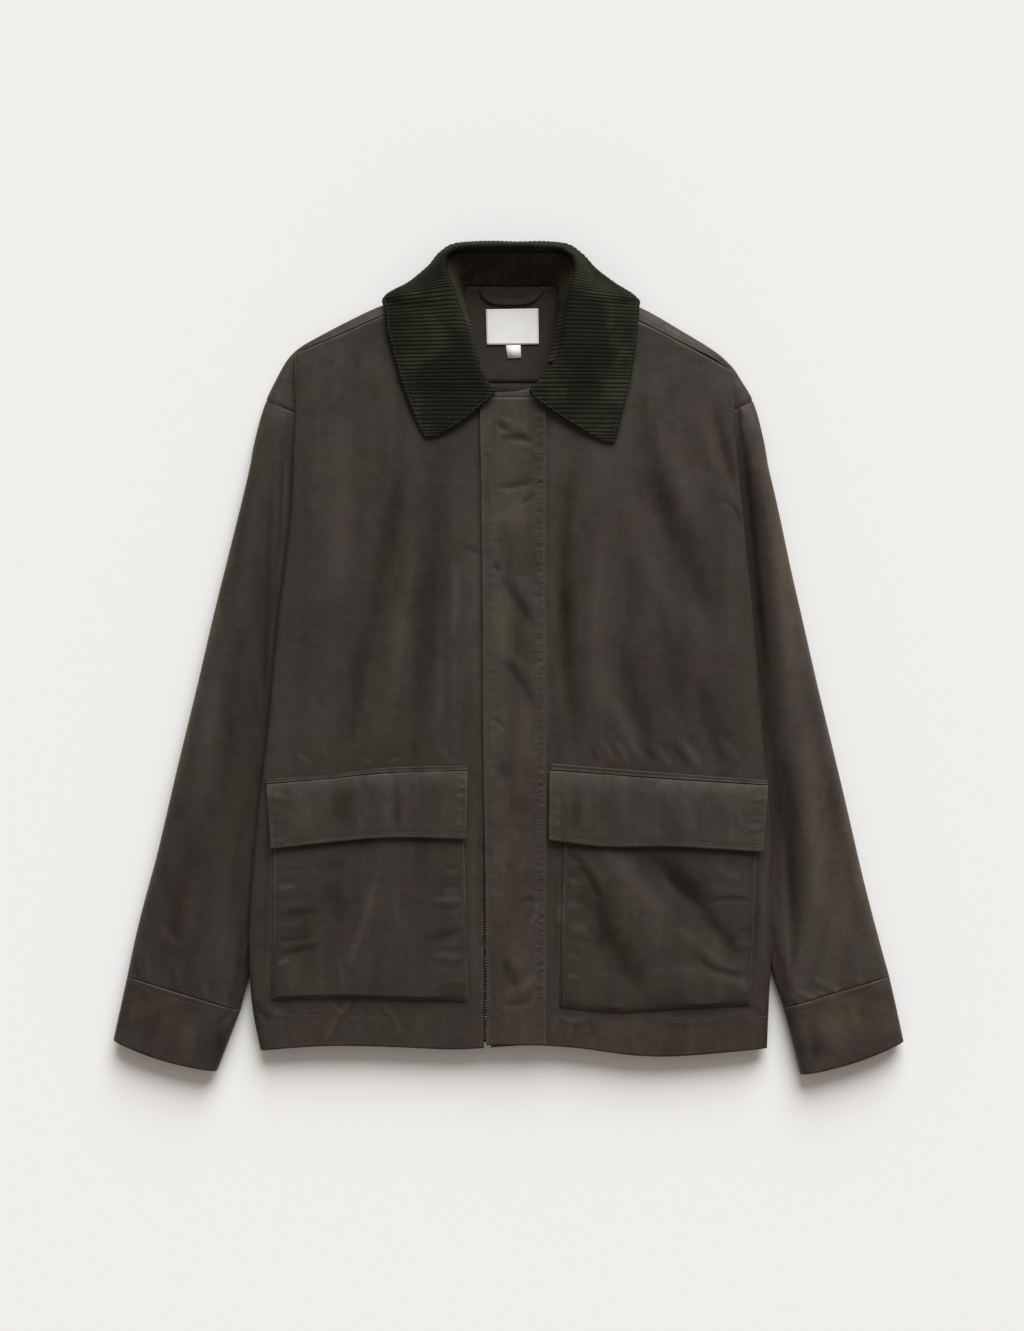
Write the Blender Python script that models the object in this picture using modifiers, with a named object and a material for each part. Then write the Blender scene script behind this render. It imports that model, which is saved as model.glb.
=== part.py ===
"""Waxed cotton jacket, hip length, lying flat on a surface with its fronts up and closed.

Every table is in millimetres. +X is the wearer's left, +Y runs from hem to collar, +Z is up
and the surface is z = 0. The back lies on the surface, the fronts lie over it as an empty
tube, and the sleeves lie beside the back with their inner edge tucked under the fronts.
"""
import math
from collections import namedtuple

import bpy
from mathutils import Vector

MM = 0.001

# Driving sizes
CLOTH = 1.5          # waxed cotton with its lining, as one wall
SEAM = 0.3           # gap between two pieces at a seam
LAID = 0.45          # gap under a piece that lies on a panel
CHEST = 206.0        # line across the fronts at the armpits
ARMHOLE = 215.5      # lower seam of the back yoke
HEM_BACK_RISE = 6.0      # the back's hem lies this far up from the fronts' hem
ZIP_RIGHT_EDGE = -23.2   # centre edge of the wearer's right front
ZIP_LEFT_EDGE = -16.6    # centre edge of the wearer's left front
FRONT_TOP = 250.0        # top of both centre edges
SIDE_REACH = 70.0        # the fronts start to sink towards their side folds this far in
SHOULDER_ROUND = 18.0    # radius of the turn over the shoulder edge, seen from above
SHELF_GAP = 1.2          # what is tucked under a front's side fold stays this far below it

RIGHT, LEFT = -1, 1      # the wearer's sides: the sign of x


class Table:
    """Sizes in named columns, a row for each section. The first column is the station, and
    another column is read at any station from a smooth curve through its rows."""

    def __init__(self, columns, *rows):
        self.columns = columns.split()
        self.rows = sorted(rows)

    def __call__(self, name, station):
        rows, place = self.rows, self.columns.index(name)
        station = min(max(station, rows[0][0]), rows[-1][0])
        last = len(rows) - 2
        lower = max(i for i in range(last + 1) if rows[i][0] <= station)
        start, end = rows[lower], rows[lower + 1]
        step = end[0] - start[0]

        def slope(index):
            before, after = rows[max(index - 1, 0)], rows[min(index + 1, last + 1)]
            return (after[place] - before[place]) / (after[0] - before[0])

        t = (station - start[0]) / step
        return (start[place] * (2 * t ** 3 - 3 * t ** 2 + 1)
                + end[place] * (3 * t ** 2 - 2 * t ** 3)
                + slope(lower) * step * (t ** 3 - 2 * t ** 2 + t)
                + slope(lower + 1) * step * (t ** 3 - t ** 2))


# Body: side folds of the fronts, how deep the sleeve is tucked in behind each, the height
# of the fronts, how far they sink at the fold, and the height of the layer that returns
# under the fold
BODY = Table(
    "y    right_edge left_edge tuck  top   drop  under",
    (288,  -203,      213,      14,   19.0,  0.0,  8.5),
    (257,  -202.5,    213.5,    30,   20.5,  2.0, 10.0),
    (227,  -202,      214,      40,   21.5,  3.0, 11.5),
    (206,  -203.5,    215,      45,   22.5,  3.5, 12.5),
    (130,  -206.5,    222.5,    41,   24.0,  4.0, 12.5),
    (55,   -216.5,    230,      40,   25.0,  4.0, 12.5),
    (-40,  -225.5,    238,      33,   25.0,  4.0, 12.5),
    (-96,  -231,      242.5,    28,   25.0,  3.5, 12.5),
    (-136, -236.5,    247,      24,   24.5,  3.0, 12.5),
    (-228, -244.5,    248,      15,   24.0,  3.0, 12.5),
    (-292, -246,      248.5,    13,   23.0,  3.0, 11.0),
    (-328, -244.5,    247,      13,   22.0,  3.0,  4.5),
    (-371, -235.5,    245.5,    13,   21.0,  3.0,  3.0))

# Hem line of the fronts, seen from above
HEM = Table("x y", (-235, -371.5), (-185, -367), (-149, -366.5), (-86, -368.5), (-54, -370.5),
            (-22, -368.5), (17, -365.5), (76, -369.5), (116, -376), (154, -377),
            (198, -373.5), (245, -369.5))

# Shoulder edge seen from above, at a distance from the middle, on each side
SHOULDER = Table("x right left", (45, 352.5, 352.5), (78, 346, 348), (116, 338.5, 340),
                 (153, 319.5, 316.5), (190, 300.5, 295.5), (203, 291, 286), (214, 280, 275))

# The broad folds of the fronts: a line, its half width, and its height (below 0, a trough)
Fold = namedtuple("Fold", "x0 y0 x1 y1 half_width height")
FRONT_FOLDS = (
    Fold(-160, 150, -176, -30, 24, -1.6),
    Fold(-100, 120, -90, -60, 30, 1.2),
    Fold(190, 190, 205, 60, 22, -1.6),
    Fold(110, 130, 96, -60, 30, 1.2),
    Fold(150, -30, 225, -88, 16, -1.4),
)


def blend(a, b, t):
    return a + (b - a) * t


def across_steps(count):
    return [step / count for step in range(count + 1)]


def relief(folds, x, y):
    """Height that the folds give at a point, with soft ends."""
    total = 0.0
    for fold in folds:
        along = Vector((fold.x1 - fold.x0, fold.y1 - fold.y0))
        away = Vector((x - fold.x0, y - fold.y0))
        t = min(max(away.dot(along) / along.length_squared, 0.0), 1.0)
        distance = (away - along * t).length
        total += fold.height * math.exp(-(distance / fold.half_width) ** 2)
    return total


def body_edge(side, y):
    return BODY("left_edge" if side == LEFT else "right_edge", y)


def shoulder_edge(side, x):
    return SHOULDER("left" if side == LEFT else "right", abs(x))


def front_height(side, x, y):
    """Outer face of the fronts: a low crown that rolls down to the shoulder edge."""
    inside = side * (body_edge(side, y) - x)
    lack = 1 - min(max(inside, 0.0), SIDE_REACH) / SIDE_REACH
    height = BODY("top", y) - BODY("drop", y) * lack ** 2 + relief(FRONT_FOLDS, x, y)
    from_edge = (shoulder_edge(side, x) - y) * math.cos(math.radians(27))
    short = 1 - min(max(from_edge / SHOULDER_ROUND, 0.0), 1.0)
    return height * (0.5 + 0.5 * math.sqrt(1 - short ** 2))


def shelf(y):
    """Top of whatever is tucked under a front's side fold."""
    return BODY("under", y) - SHELF_GAP


# Building the pieces
def material(name, colour, roughness):
    made = bpy.data.materials.new(name)
    made.use_nodes = True
    shader = made.node_tree.nodes["Principled BSDF"]
    shader.inputs["Base Color"].default_value = (*colour, 1.0)
    shader.inputs["Roughness"].default_value = roughness
    return made


def piece(name, points, faces, finish):
    mesh = bpy.data.meshes.new(name)
    mesh.from_pydata([Vector(p) * MM for p in points], [], faces)
    mesh.materials.append(finish)
    made = bpy.data.objects.new(name, mesh)
    jacket.objects.link(made)
    mesh.shade_smooth()
    return made


def wall(name, rows, finish, thickness=CLOTH, outwards=False, ring=False, even=True):
    """Open surface through rows of points, given its thickness. The rows are the outer face,
    or the lower face where outwards is set. A ring joins each row's last point to its first.
    A wall that isn't even thins out in its bends, where they are too tight for the cloth."""
    width = len(rows[0])
    points = [p for row in rows for p in row]
    faces = []
    for i in range(len(rows) - 1):
        for j in range(width if ring else width - 1):
            k = (j + 1) % width
            a, b, c, d = i * width + j, i * width + k, (i + 1) * width + k, (i + 1) * width + j
            faces += [(a, b, c), (a, c, d)]
    made = piece(name, points, faces, finish)
    solid = made.modifiers.new("thickness", "SOLIDIFY")
    solid.thickness = thickness * MM
    solid.offset = 1 if outwards else -1
    solid.use_even_offset = even
    return made


def plate(name, outline, low, thickness, finish):
    """Flat piece cut to an outline, its lower face at a height."""
    curve = bpy.data.curves.new(name, "CURVE")
    curve.dimensions = "2D"
    curve.fill_mode = "BOTH"
    curve.extrude = thickness / 2 * MM
    spline = curve.splines.new("POLY")
    spline.points.add(len(outline) - 1)
    for point, (x, y) in zip(spline.points, outline):
        point.co = (x * MM, y * MM, 0, 1)
    spline.use_cyclic_u = True
    curve.materials.append(finish)
    made = bpy.data.objects.new(name, curve)
    made.location.z = (low + thickness / 2) * MM
    jacket.objects.link(made)
    return made


def normals(columns):
    """Outward direction at each point of a grid of columns."""
    last, top = len(columns) - 1, len(columns[0]) - 1
    facing = []
    for i in range(last + 1):
        ahead, behind = columns[min(i + 1, last)], columns[max(i - 1, 0)]
        facing.append([
            (columns[i][min(j + 1, top)] - columns[i][max(j - 1, 0)])
            .cross(ahead[j] - behind[j]).normalized() for j in range(top + 1)])
    return facing


def corded_wall(name, columns, thickness, step, finish):
    """Corduroy wall: a cord stands on every second column of its outer face, over a plain
    inner face that has one column to every step of the outer one."""
    facing = normals(columns)
    height = len(columns[0])
    outer_points = []
    for i, column in enumerate(columns):
        beside = columns[i - 1] if i else columns[1]
        for p, q, n in zip(column, beside, facing[i]):
            cord = min(CORD_HEIGHT / 2, CORD_STEEPNESS * (p - q).length)
            point = p + n * (cord if i % 2 else -cord)
            outer_points.append(Vector((point.x, point.y, max(point.z, 0.0))))
    inner_points = [p - n * thickness for i in range(0, len(columns), step)
                    for p, n in zip(columns[i], facing[i])]
    first_inner = len(outer_points)
    end, inner_end, top = len(columns) - 1, (len(columns) - 1) // step, height - 1

    def outer(i, j):
        return i * height + j

    def inner(i, j):
        return first_inner + i * height + j

    faces = []
    for j in range(top):
        faces += [(outer(i, j), outer(i, j + 1), outer(i + 1, j + 1), outer(i + 1, j))
                  for i in range(end)]
        faces += [(inner(i, j), inner(i + 1, j), inner(i + 1, j + 1), inner(i, j + 1))
                  for i in range(inner_end)]
        faces += [(outer(0, j + 1), outer(0, j), inner(0, j), inner(0, j + 1)),
                  (outer(end, j), outer(end, j + 1), inner(inner_end, j + 1), inner(inner_end, j))]
    for i in range(inner_end):
        middle = i * step + step // 2
        for a in range(i * step, (i + 1) * step):
            nearer = i if a < middle else i + 1
            faces += [(outer(a, 0), outer(a + 1, 0), inner(nearer, 0)),
                      (outer(a + 1, top), outer(a, top), inner(nearer, top))]
        faces += [(inner(i + 1, 0), inner(i, 0), outer(middle, 0)),
                  (inner(i, top), inner(i + 1, top), outer(middle, top))]
    return piece(name, outer_points + inner_points, faces, finish)


# Fronts
# Top edge of each front: up the neckline to the neck point, then out along the shoulder seam
FRONT_TOP_EDGE = {
    RIGHT: ((ZIP_RIGHT_EDGE, FRONT_TOP), (-31, 279), (-37, 307), (-47, 340), (-78, 335),
            (-113.5, 327.2), (-150.5, 309.4), (-178, 298), (-198, 289.8)),
    LEFT: ((ZIP_LEFT_EDGE, FRONT_TOP), (20, 252), (37, 266), (46, 300), (52, 340), (83, 333),
           (122, 320.4), (165, 297.2), (209, 273.6)),
}
FOLD_TOP = {RIGHT: 287.5, LEFT: 271.5}  # where the side fold meets the shoulder seam
FRONT_ROWS = 17      # hem to chest line
YOKE_ROWS = 5        # chest line to shoulder seam
FOLD_TURN = (60, 25, -10, -45, -90)     # stations round the side fold, in degrees
ARMHOLE_TURN = 3.0   # how far the edge of the armhole turns down
ARMHOLE_OPENS = 14.0     # distance above the chest line in which the side seam ends


def side_fold(side, y):
    """Round the side fold, back in under it, and down to the side seam on the back. Above the
    armpit the edge only turns down a little, so that the armhole stays open."""
    edge, under = body_edge(side, y), BODY("under", y)
    foot = blend(CLOTH + SEAM, under - ARMHOLE_TURN, min(max((y - CHEST) / ARMHOLE_OPENS, 0.0), 1.0))
    top = front_height(side, edge, y)
    radius = (top - under) / 2
    inward = -side
    turn = [(edge + inward * radius * (1 - math.cos(math.radians(a))), y,
             under + radius + radius * math.sin(math.radians(a))) for a in FOLD_TURN]
    seam_x = edge + inward * max(BODY("tuck", y), radius + 4)
    return turn + [(seam_x - inward * 1.5, y, under), (seam_x, y, blend(under, foot, 0.25)),
                   (seam_x, y, foot)], edge + inward * radius


def front(side, name, centre, finish):
    top_edge = FRONT_TOP_EDGE[side]
    columns = len(top_edge)
    rows = []
    for row in range(FRONT_ROWS + YOKE_ROWS):
        up = min(row / (FRONT_ROWS - 1), 1.0)
        over = max(row - FRONT_ROWS + 1, 0) / YOKE_ROWS
        hem = HEM("y", body_edge(side, BODY.rows[0][0]))
        side_y = blend(blend(hem, CHEST, up), FOLD_TOP[side], over)
        fold, fold_x = side_fold(side, side_y)
        line = []
        for column in range(columns):
            x = blend(centre, fold_x, column / (columns - 1))
            y = blend(HEM("y", x), CHEST, up)
            x = blend(x, top_edge[column][0], over)
            y = blend(y, top_edge[column][1], over)
            line.append((x, y, front_height(side, x, y)))
        rows.append(line + fold)
    if side == RIGHT:
        rows.reverse()
    return wall(name, rows, finish)


# Back, yoke and linings
def back(finish):
    """Flat panel from the yoke seam to the hem, its sides along the fronts' side seams."""
    lines = []
    for side in (RIGHT, LEFT):
        line = []
        for step in range(12):
            y = blend(HEM("y", 0) + HEM_BACK_RISE, ARMHOLE - SEAM, step / 11)
            line.append((side_fold(side, y)[0][-1][0], y))
        lines.append(line)
    return plate("back", lines[LEFT] + lines[0][::-1], 0, CLOTH, finish)


# Yoke: each column starts on the yoke seam, runs flat to the shoulder edge, turns over it
# and ends at the shoulder seam. Its rise is its part of the fronts' height, and a column that
# ends under a front's side fold has none.
YokeColumn = namedtuple("YokeColumn", "seam_x seam_y edge_x edge_y top_x top_y rise")
YOKE_RIGHT = (
    YokeColumn(-157.5, 216.5, -229.9, 244.4, -194, 230.6, 0),
    YokeColumn(-154, ARMHOLE, -227.5, 251, -193, 241, 0),
    YokeColumn(-149, ARMHOLE, -220.5, 264.5, -192, 257, 0),
    YokeColumn(-142, ARMHOLE, -212, 281.5, -194, 276, 0),
    YokeColumn(-132, ARMHOLE, -203.5, 291.5, -199.5, 290.4, 0),
    YokeColumn(-121, ARMHOLE, -189.5, 300.5, -186, 295.8, 1),
    YokeColumn(-100, ARMHOLE, -153.5, 319.5, -149.1, 311, 1),
    YokeColumn(-80, ARMHOLE, -116, 338.5, -112.2, 328.7, 1),
    YokeColumn(-62, ARMHOLE, -78, 346, -77, 335.8, 1),
    YokeColumn(-48, ARMHOLE, -54, 351, -49.5, 340.6, 1),
)
YOKE_LEFT = (
    YokeColumn(171.5, 216.5, 231.9, 244.4, 205, 231.5, 0),
    YokeColumn(167, ARMHOLE, 228, 253, 205, 245, 0),
    YokeColumn(160, ARMHOLE, 222, 261.5, 204.5, 255.5, 0),
    YokeColumn(151, ARMHOLE, 217, 270.5, 204, 265, 0),
    YokeColumn(141, ARMHOLE, 211, 279.5, 208.5, 275.2, 0),
    YokeColumn(127, ARMHOLE, 196, 292.5, 192, 285, 1),
    YokeColumn(104, ARMHOLE, 163, 311.5, 158, 301.6, 1),
    YokeColumn(84, ARMHOLE, 122, 337, 121, 321.9, 1),
    YokeColumn(66, ARMHOLE, 84, 347, 83.5, 334, 1),
    YokeColumn(51, ARMHOLE, 58.5, 351.3, 55, 340.8, 1),
)
NECK_SEAM = 352.4        # the yoke's edge at the back neck
# Back neck: x on the yoke seam and at the neck, and how far the yoke curls up there
YOKE_NECK = ((-44.5, -50, 8), (-40, -41.5, 0), (-21, -22, 0), (0, 0, 0), (21, 22, 0),
             (42, 45, 0), (47, 53.5, 8))
EDGE_TURN = 9.0          # how far in the turn under a shoulder edge starts
CAP_RISE = 0.2           # how steeply the yoke comes up from under a side fold


def cap_height(side, x, y, from_edge):
    """Top of the yoke beside the side fold: round at the edge, then down to the shelf."""
    short = 1 - min(from_edge / EDGE_TURN, 1.0)
    outside = max(side * (x - body_edge(side, y)), 0.0)
    return (shelf(y) + CAP_RISE * outside) * (0.5 + 0.5 * math.sqrt(1 - short ** 2))


def yoke_column(side, column):
    seam = Vector((column.seam_x, column.seam_y))
    edge = Vector((column.edge_x, column.edge_y))
    top = Vector((column.top_x, column.top_y))
    under = (edge - seam).normalized()
    points = [(*seam.lerp(edge - under * EDGE_TURN, t), 0.0) for t in (0, 0.5, 1)]
    length = (top - edge).length
    over = []
    for part in (0, 0.2, 0.4, 0.6, 0.8, 1):
        x, y = edge.lerp(top, part)
        z = column.rise * front_height(side, x, y) or cap_height(side, x, y, part * length)
        over.append((x, y, z))
    for back, part in ((0.5, 0.13), (0.2, 0.4)):
        points.append((*(edge - under * EDGE_TURN * back), over[0][2] * part))
    return points + over


def back_yoke(finish):
    columns = [yoke_column(RIGHT, column) for column in YOKE_RIGHT]
    for seam_x, neck_x, curl in YOKE_NECK:
        start = NECK_SEAM - EDGE_TURN
        column = [(seam_x, ARMHOLE, 0.0), ((seam_x + neck_x) / 2, (ARMHOLE + start) / 2, 0.0)]
        column += [(neck_x, start + EDGE_TURN * t, curl * t ** 2) for t in across_steps(8)]
        columns.append(column)
    columns += [yoke_column(LEFT, column) for column in reversed(YOKE_LEFT)]
    return wall("back_yoke", columns, finish, even=False)


YOKE_LINING = ((-34, 350.5), (37, 350.5), (48, 335), (68, 300), (68, 261.3), (-66, 261.3),
               (-62, 300), (-48, 335))
BACK_LINING = ((-66, 261), (68, 261), (68, 205), (-66, 205))
LINING = 1.0             # lining, labels and tape
ON_YOKE = CLOTH + SEAM
ON_LINING = ON_YOKE + LINING + SEAM
NECK_LABEL = ((-21.5, 331.3), (28.3, 332.1), (28.8, 298.2), (-20.6, 297.6))
SIZE_TAG = ((-2.4, 297.3), (11.4, 297.5), (12, 285.3), (-0.9, 284.6))

# Sleeves: a section for each row, from its outer edge to its inner one, and its height
SLEEVE_RIGHT = Table(
    "row outer_x outer_y inner_x inner_y crest",
    (0, -230.1, 243.6, -159.5, 215.2, 12.8),
    (1, -236.5, 224, -162, 196, 17.0),
    (2, -245, 187, -165, 160, 20.0),
    (3, -254.5, 146, -167.5, 117, 22.0),
    (4, -268, 92, -173, 60, 23.0),
    (5, -282, 36, -183, 3, 24.0),
    (6, -294.5, -20, -194.5, -54, 24.5),
    (7, -308.5, -77, -205, -112, 25.0),
    (8, -322, -134, -217, -169, 25.0),
    (9, -335, -191, -229.5, -226, 24.0),
    (10, -350.5, -245, -240.5, -279, 23.0),
    (11, -362.3, -300.6, -253.6, -334.2, 22.0),
    (12, -375.6, -361.5, -275.3, -391.5, 20.5))
SLEEVE_LEFT = Table(
    "row outer_x outer_y inner_x inner_y crest",
    (0, 232.1, 243.6, 173.2, 215.2, 12.8),
    (1, 238.5, 224, 172.5, 196, 17.0),
    (2, 246, 187, 178.5, 160, 20.0),
    (3, 256, 146, 184.5, 117, 22.0),
    (4, 267, 92, 191, 60, 23.0),
    (5, 280, 36, 199.5, 3, 24.0),
    (6, 292.5, -20, 209, -54, 24.5),
    (7, 306.3, -77, 219, -112, 25.0),
    (8, 320, -134, 228, -169, 25.0),
    (9, 333, -191, 234.5, -226, 24.0),
    (10, 346.3, -245, 243, -279, 23.0),
    (11, 361.8, -300.6, 259.6, -331.3, 22.0),
    (12, 375.6, -362.5, 275.4, -394.77, 20.5))
CUFF_ROW = 11            # row of the cuff seam
SLEEVE_EDGE = 12.0       # how far in a sleeve's outer turn reaches
SLEEVE_FREE = -300.0     # below this line a sleeve lies clear of the body
SLEEVE_CLEAR = 1.0       # from a sleeve's inner edge to the side seam
EDGE_CLEAR = 2.0         # a sleeve starts to rise this far out from the side fold
SLEEVE_FOLD_RISE = 0.9   # how steeply a sleeve comes up from under the side fold
SLEEVE_FOLDS = {
    RIGHT: (Fold(-262, 90, -285, -130, 11, -2.2), Fold(-262, -150, -290, -330, 12, -2.0)),
    LEFT: (Fold(262, 90, 283, -130, 11, -2.2), Fold(285, -150, 300, -330, 12, -2.0)),
}


def sleeve_ring(side, row, bow=0.0):
    """Section of a sleeve, round from the inner edge along the surface and back on top. The
    last ring of a cuff is bowed outwards along the sleeve."""
    sizes = SLEEVE_LEFT if side == LEFT else SLEEVE_RIGHT
    outer = Vector((sizes("outer_x", row), sizes("outer_y", row)))
    inner = Vector((sizes("inner_x", row), sizes("inner_y", row)))
    seam_x = side_fold(side, inner.y)[0][-1][0]
    if inner.y > SLEEVE_FREE:
        inner.x = side * max(side * inner.x, side * seam_x + SLEEVE_CLEAR)
    width, crest = (inner - outer).length, sizes("crest", row)

    def outside(t):
        x, y = outer.lerp(inner, t / width)
        return side * (x - body_edge(side, y))

    def top(t):
        x, y = outer.lerp(inner, t / width)
        risen = shelf(y) + SLEEVE_FOLD_RISE * max(outside(t) - EDGE_CLEAR, 0.0)
        return min(crest + relief(SLEEVE_FOLDS[side], x, y), risen)

    end_height = top(width - 6)
    end = min(SLEEVE_EDGE, end_height / 2)
    bend = blend(SLEEVE_EDGE, width - end, 0.88)
    while outside(bend) < EDGE_CLEAR and outside(width) < 0:
        bend -= 0.5
    ring = [(width - end, 0.0), (width * 0.62, 0.0), (width * 0.33, 0.0)]
    edge_height = top(SLEEVE_EDGE)
    for angle in (-90, -45, 0, 45):
        turn = math.radians(angle)
        ring.append((SLEEVE_EDGE * (1 - math.cos(turn)), edge_height * (0.5 + 0.5 * math.sin(turn))))
    places = [blend(SLEEVE_EDGE, bend, t) for t in (0, 0.3, 0.62, 1)]
    places += [blend(bend, width - end, t) for t in (0.5, 1)]
    ring += [(place, top(place)) for place in places]
    for angle in (45, 0, -45):
        turn = math.radians(angle)
        ring.append((width - end * (1 - math.cos(turn)), end_height * (0.5 + 0.5 * math.sin(turn))))
    down = Vector((-(inner - outer).y, (inner - outer).x)).normalized() * side
    points = []
    for t, z in ring:
        place = outer.lerp(inner, t / width) + down * bow * math.sin(math.pi * min(t / width, 1))
        points.append((place.x, place.y, z))
    return points if side == LEFT else points[::-1]


def sleeve(side, name, finish):
    rows = [CUFF_ROW * step / 16 for step in range(17)]
    rings = [sleeve_ring(side, row) for row in rows]
    return wall(name, rings, finish, ring=True)


def cuff(side, name, finish):
    rings = []
    for row, bow in ((CUFF_ROW + 0.006, 0), (CUFF_ROW + 0.33, 1), (CUFF_ROW + 0.67, 3),
                     (CUFF_ROW + 1, 5)):
        rings.append(sleeve_ring(side, row, bow))
    return wall(name, rings, finish, ring=True)


# Pockets: the lower and upper edge of each piece, from the centre outwards
BAG_RIGHT = Table("across low_x low_y high_x high_y", (0, -38.5, -323, -44, -117),
                  (0.35, -103, -321.5, -105, -119.5), (0.65, -158.5, -319.5, -160, -124.5),
                  (1, -222.5, -321.5, -220, -130.5))
BAG_LEFT = Table("across low_x low_y high_x high_y", (0, 49.5, -328, 54, -117),
                 (0.29, 100.5, -333.5, 104, -121), (0.62, 159, -330, 164, -126.5),
                 (1, 228, -326.5, 236, -132.5))
POCKET_FLAP_RIGHT = Table("across low_x low_y high_x high_y", (0, -39.5, -171, -38.5, -106.9),
                          (0.4, -111, -169, -113, -109), (0.65, -161, -173, -161, -113.8),
                          (1, -224, -180, -228.5, -119.9))
POCKET_FLAP_LEFT = Table("across low_x low_y high_x high_y", (0, 38, -171.5, 38.5, -106.6),
                         (0.28, 94, -178.5, 96, -110.8), (0.55, 148, -177.5, 150, -115),
                         (1, 240, -183, 245, -121))
WELT_RIGHT = Table("across low_x low_y high_x high_y", (0, -38.5, -105.7, -38.5, -101.5),
                   (0.5, -127, -108.4, -127, -104), (0.62, -150, -111.4, -150, -108.6),
                   (1, -229, -118.6, -230, -114.5))
WELT_LEFT = Table("across low_x low_y high_x high_y", (0, 39.5, -105.2, 39.5, -99.5),
                  (0.47, 137, -112.7, 137, -107.5), (1, 245, -119.6, 245.5, -115.8))
BAG_FOLDS = {
    RIGHT: (Fold(-150, -230, -148, -312, 15, 1.2), Fold(-186, -225, -200, -300, 14, -1.0)),
    LEFT: (Fold(58, -196, 124, -309, 17, -2.2), Fold(96, -200, 216, -293, 14, 1.6),
           Fold(136, -196, 218, -278, 12, -1.8)),
}
BAG_FOOT, BAG_MOUTH = 3.8, 0.7      # how far a bag stands off the front, low and high
BAG_TURN = 2.6                      # width of the turn down to its stitched edge
FLAP_CLEAR, FLAP_LIFT = 3.2, 5.8    # how far a flap stands off, near its top and at its foot
FLAP_THICK = 2.0


def pocket_piece(side, name, sizes, across, up, lift, finish, thickness):
    """Piece that lies on a front: its lower face stands off the front by lift(u, v, x, y)."""
    rows = []
    for v in up:
        row = []
        for u in across:
            x = blend(sizes("low_x", u), sizes("high_x", u), v)
            y = blend(sizes("low_y", u), sizes("high_y", u), v)
            row.append((x, y, front_height(side, x, y) + lift(u, v, x, y)))
        rows.append(row)
    if side == RIGHT:
        rows.reverse()
    return wall(name, rows, finish, thickness, outwards=True)


def pocket(side, names, bag_sizes, flap_sizes, welt_sizes, finish):
    bag, flap, welt = names
    width, length = 185.0, 205.0
    turn_u, turn_v = BAG_TURN / width, BAG_TURN / length

    def bag_lift(u, v, x, y):
        if u in (0, 1) or v == 0:
            return LAID
        stand = blend(BAG_FOOT, BAG_MOUTH, v) + relief(BAG_FOLDS[side], x, y)
        return max(stand, LAID + 0.3)

    def flap_lift(u, v, x, y):
        return LAID if v == 1 else blend(FLAP_LIFT, FLAP_CLEAR, v)

    def welt_lift(u, v, x, y):
        return LAID

    inside = [blend(turn_u, 1 - turn_u, t) for t in across_steps(9)]
    rises = [blend(turn_v, 1, t) for t in across_steps(8)]
    pocket_piece(side, bag, bag_sizes, [0] + inside + [1], [0] + rises, bag_lift, finish, CLOTH)
    pocket_piece(side, flap, flap_sizes, across_steps(9), (0, 0.45, 0.84, 1), flap_lift, finish,
                 FLAP_THICK)
    pocket_piece(side, welt, welt_sizes, across_steps(9), (0, 1), welt_lift, finish, 2.2)


# Storm flap, its band and the zip under it
FLAP_EDGE = Table("y x", (250, -27.5), (92, -25), (-78, -24), (-228, -21.5), (-315, -20.5),
                  (-366, -21))
FLAP_SEAM_X = 35.5
FLAP_FOOT, FLAP_HEAD = -365.5, 246.0
BAND_TOP = ((-27, 249.8), (-12, 250.3), (16, 252.3), (35.5, 252.8))
TAPE_HALF = 9.0
CHAIN_HALF = 2.6


def storm_flap(finish):
    rows = []
    for step in range(19):
        y = blend(FLAP_FOOT, FLAP_HEAD, step / 18)
        edge = FLAP_EDGE("x", y)
        row = []
        for u, lift in ((0, 0.9), (0.25, 0.6), (0.6, 0.6), (0.9, 0.2), (1, 0)):
            x = blend(edge, FLAP_SEAM_X, u)
            row.append((x, y, front_height(LEFT, x, y) + LAID + lift))
        rows.append(row)
    wall("storm_flap", rows, finish, FLAP_THICK, outwards=True)
    band = [[(x, FLAP_HEAD + SEAM, front_height(LEFT, x, FLAP_HEAD) + LAID + 0.6)
             for x, _ in BAND_TOP],
            [(x, y, front_height(LEFT, x, y) + LAID + 0.6) for x, y in BAND_TOP]]
    wall("storm_flap_band", band, finish, FLAP_THICK, outwards=True)


def zip_strip(finish):
    middle = (ZIP_RIGHT_EDGE + ZIP_LEFT_EDGE) / 2
    rows = []
    for step in range(17):
        y = blend(-363, 243, step / 16)
        top = front_height(LEFT, middle, y)
        tape, chain = top - CLOTH - SEAM * 2, top - 0.2
        rows.append([(middle - TAPE_HALF, y, tape), (middle - CHAIN_HALF, y, tape),
                     (middle - CHAIN_HALF + 0.1, y, chain), (middle + CHAIN_HALF - 0.1, y, chain),
                     (middle + CHAIN_HALF, y, tape), (middle + TAPE_HALF, y, tape)])
    return wall("zip", rows, finish, LINING)


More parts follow.
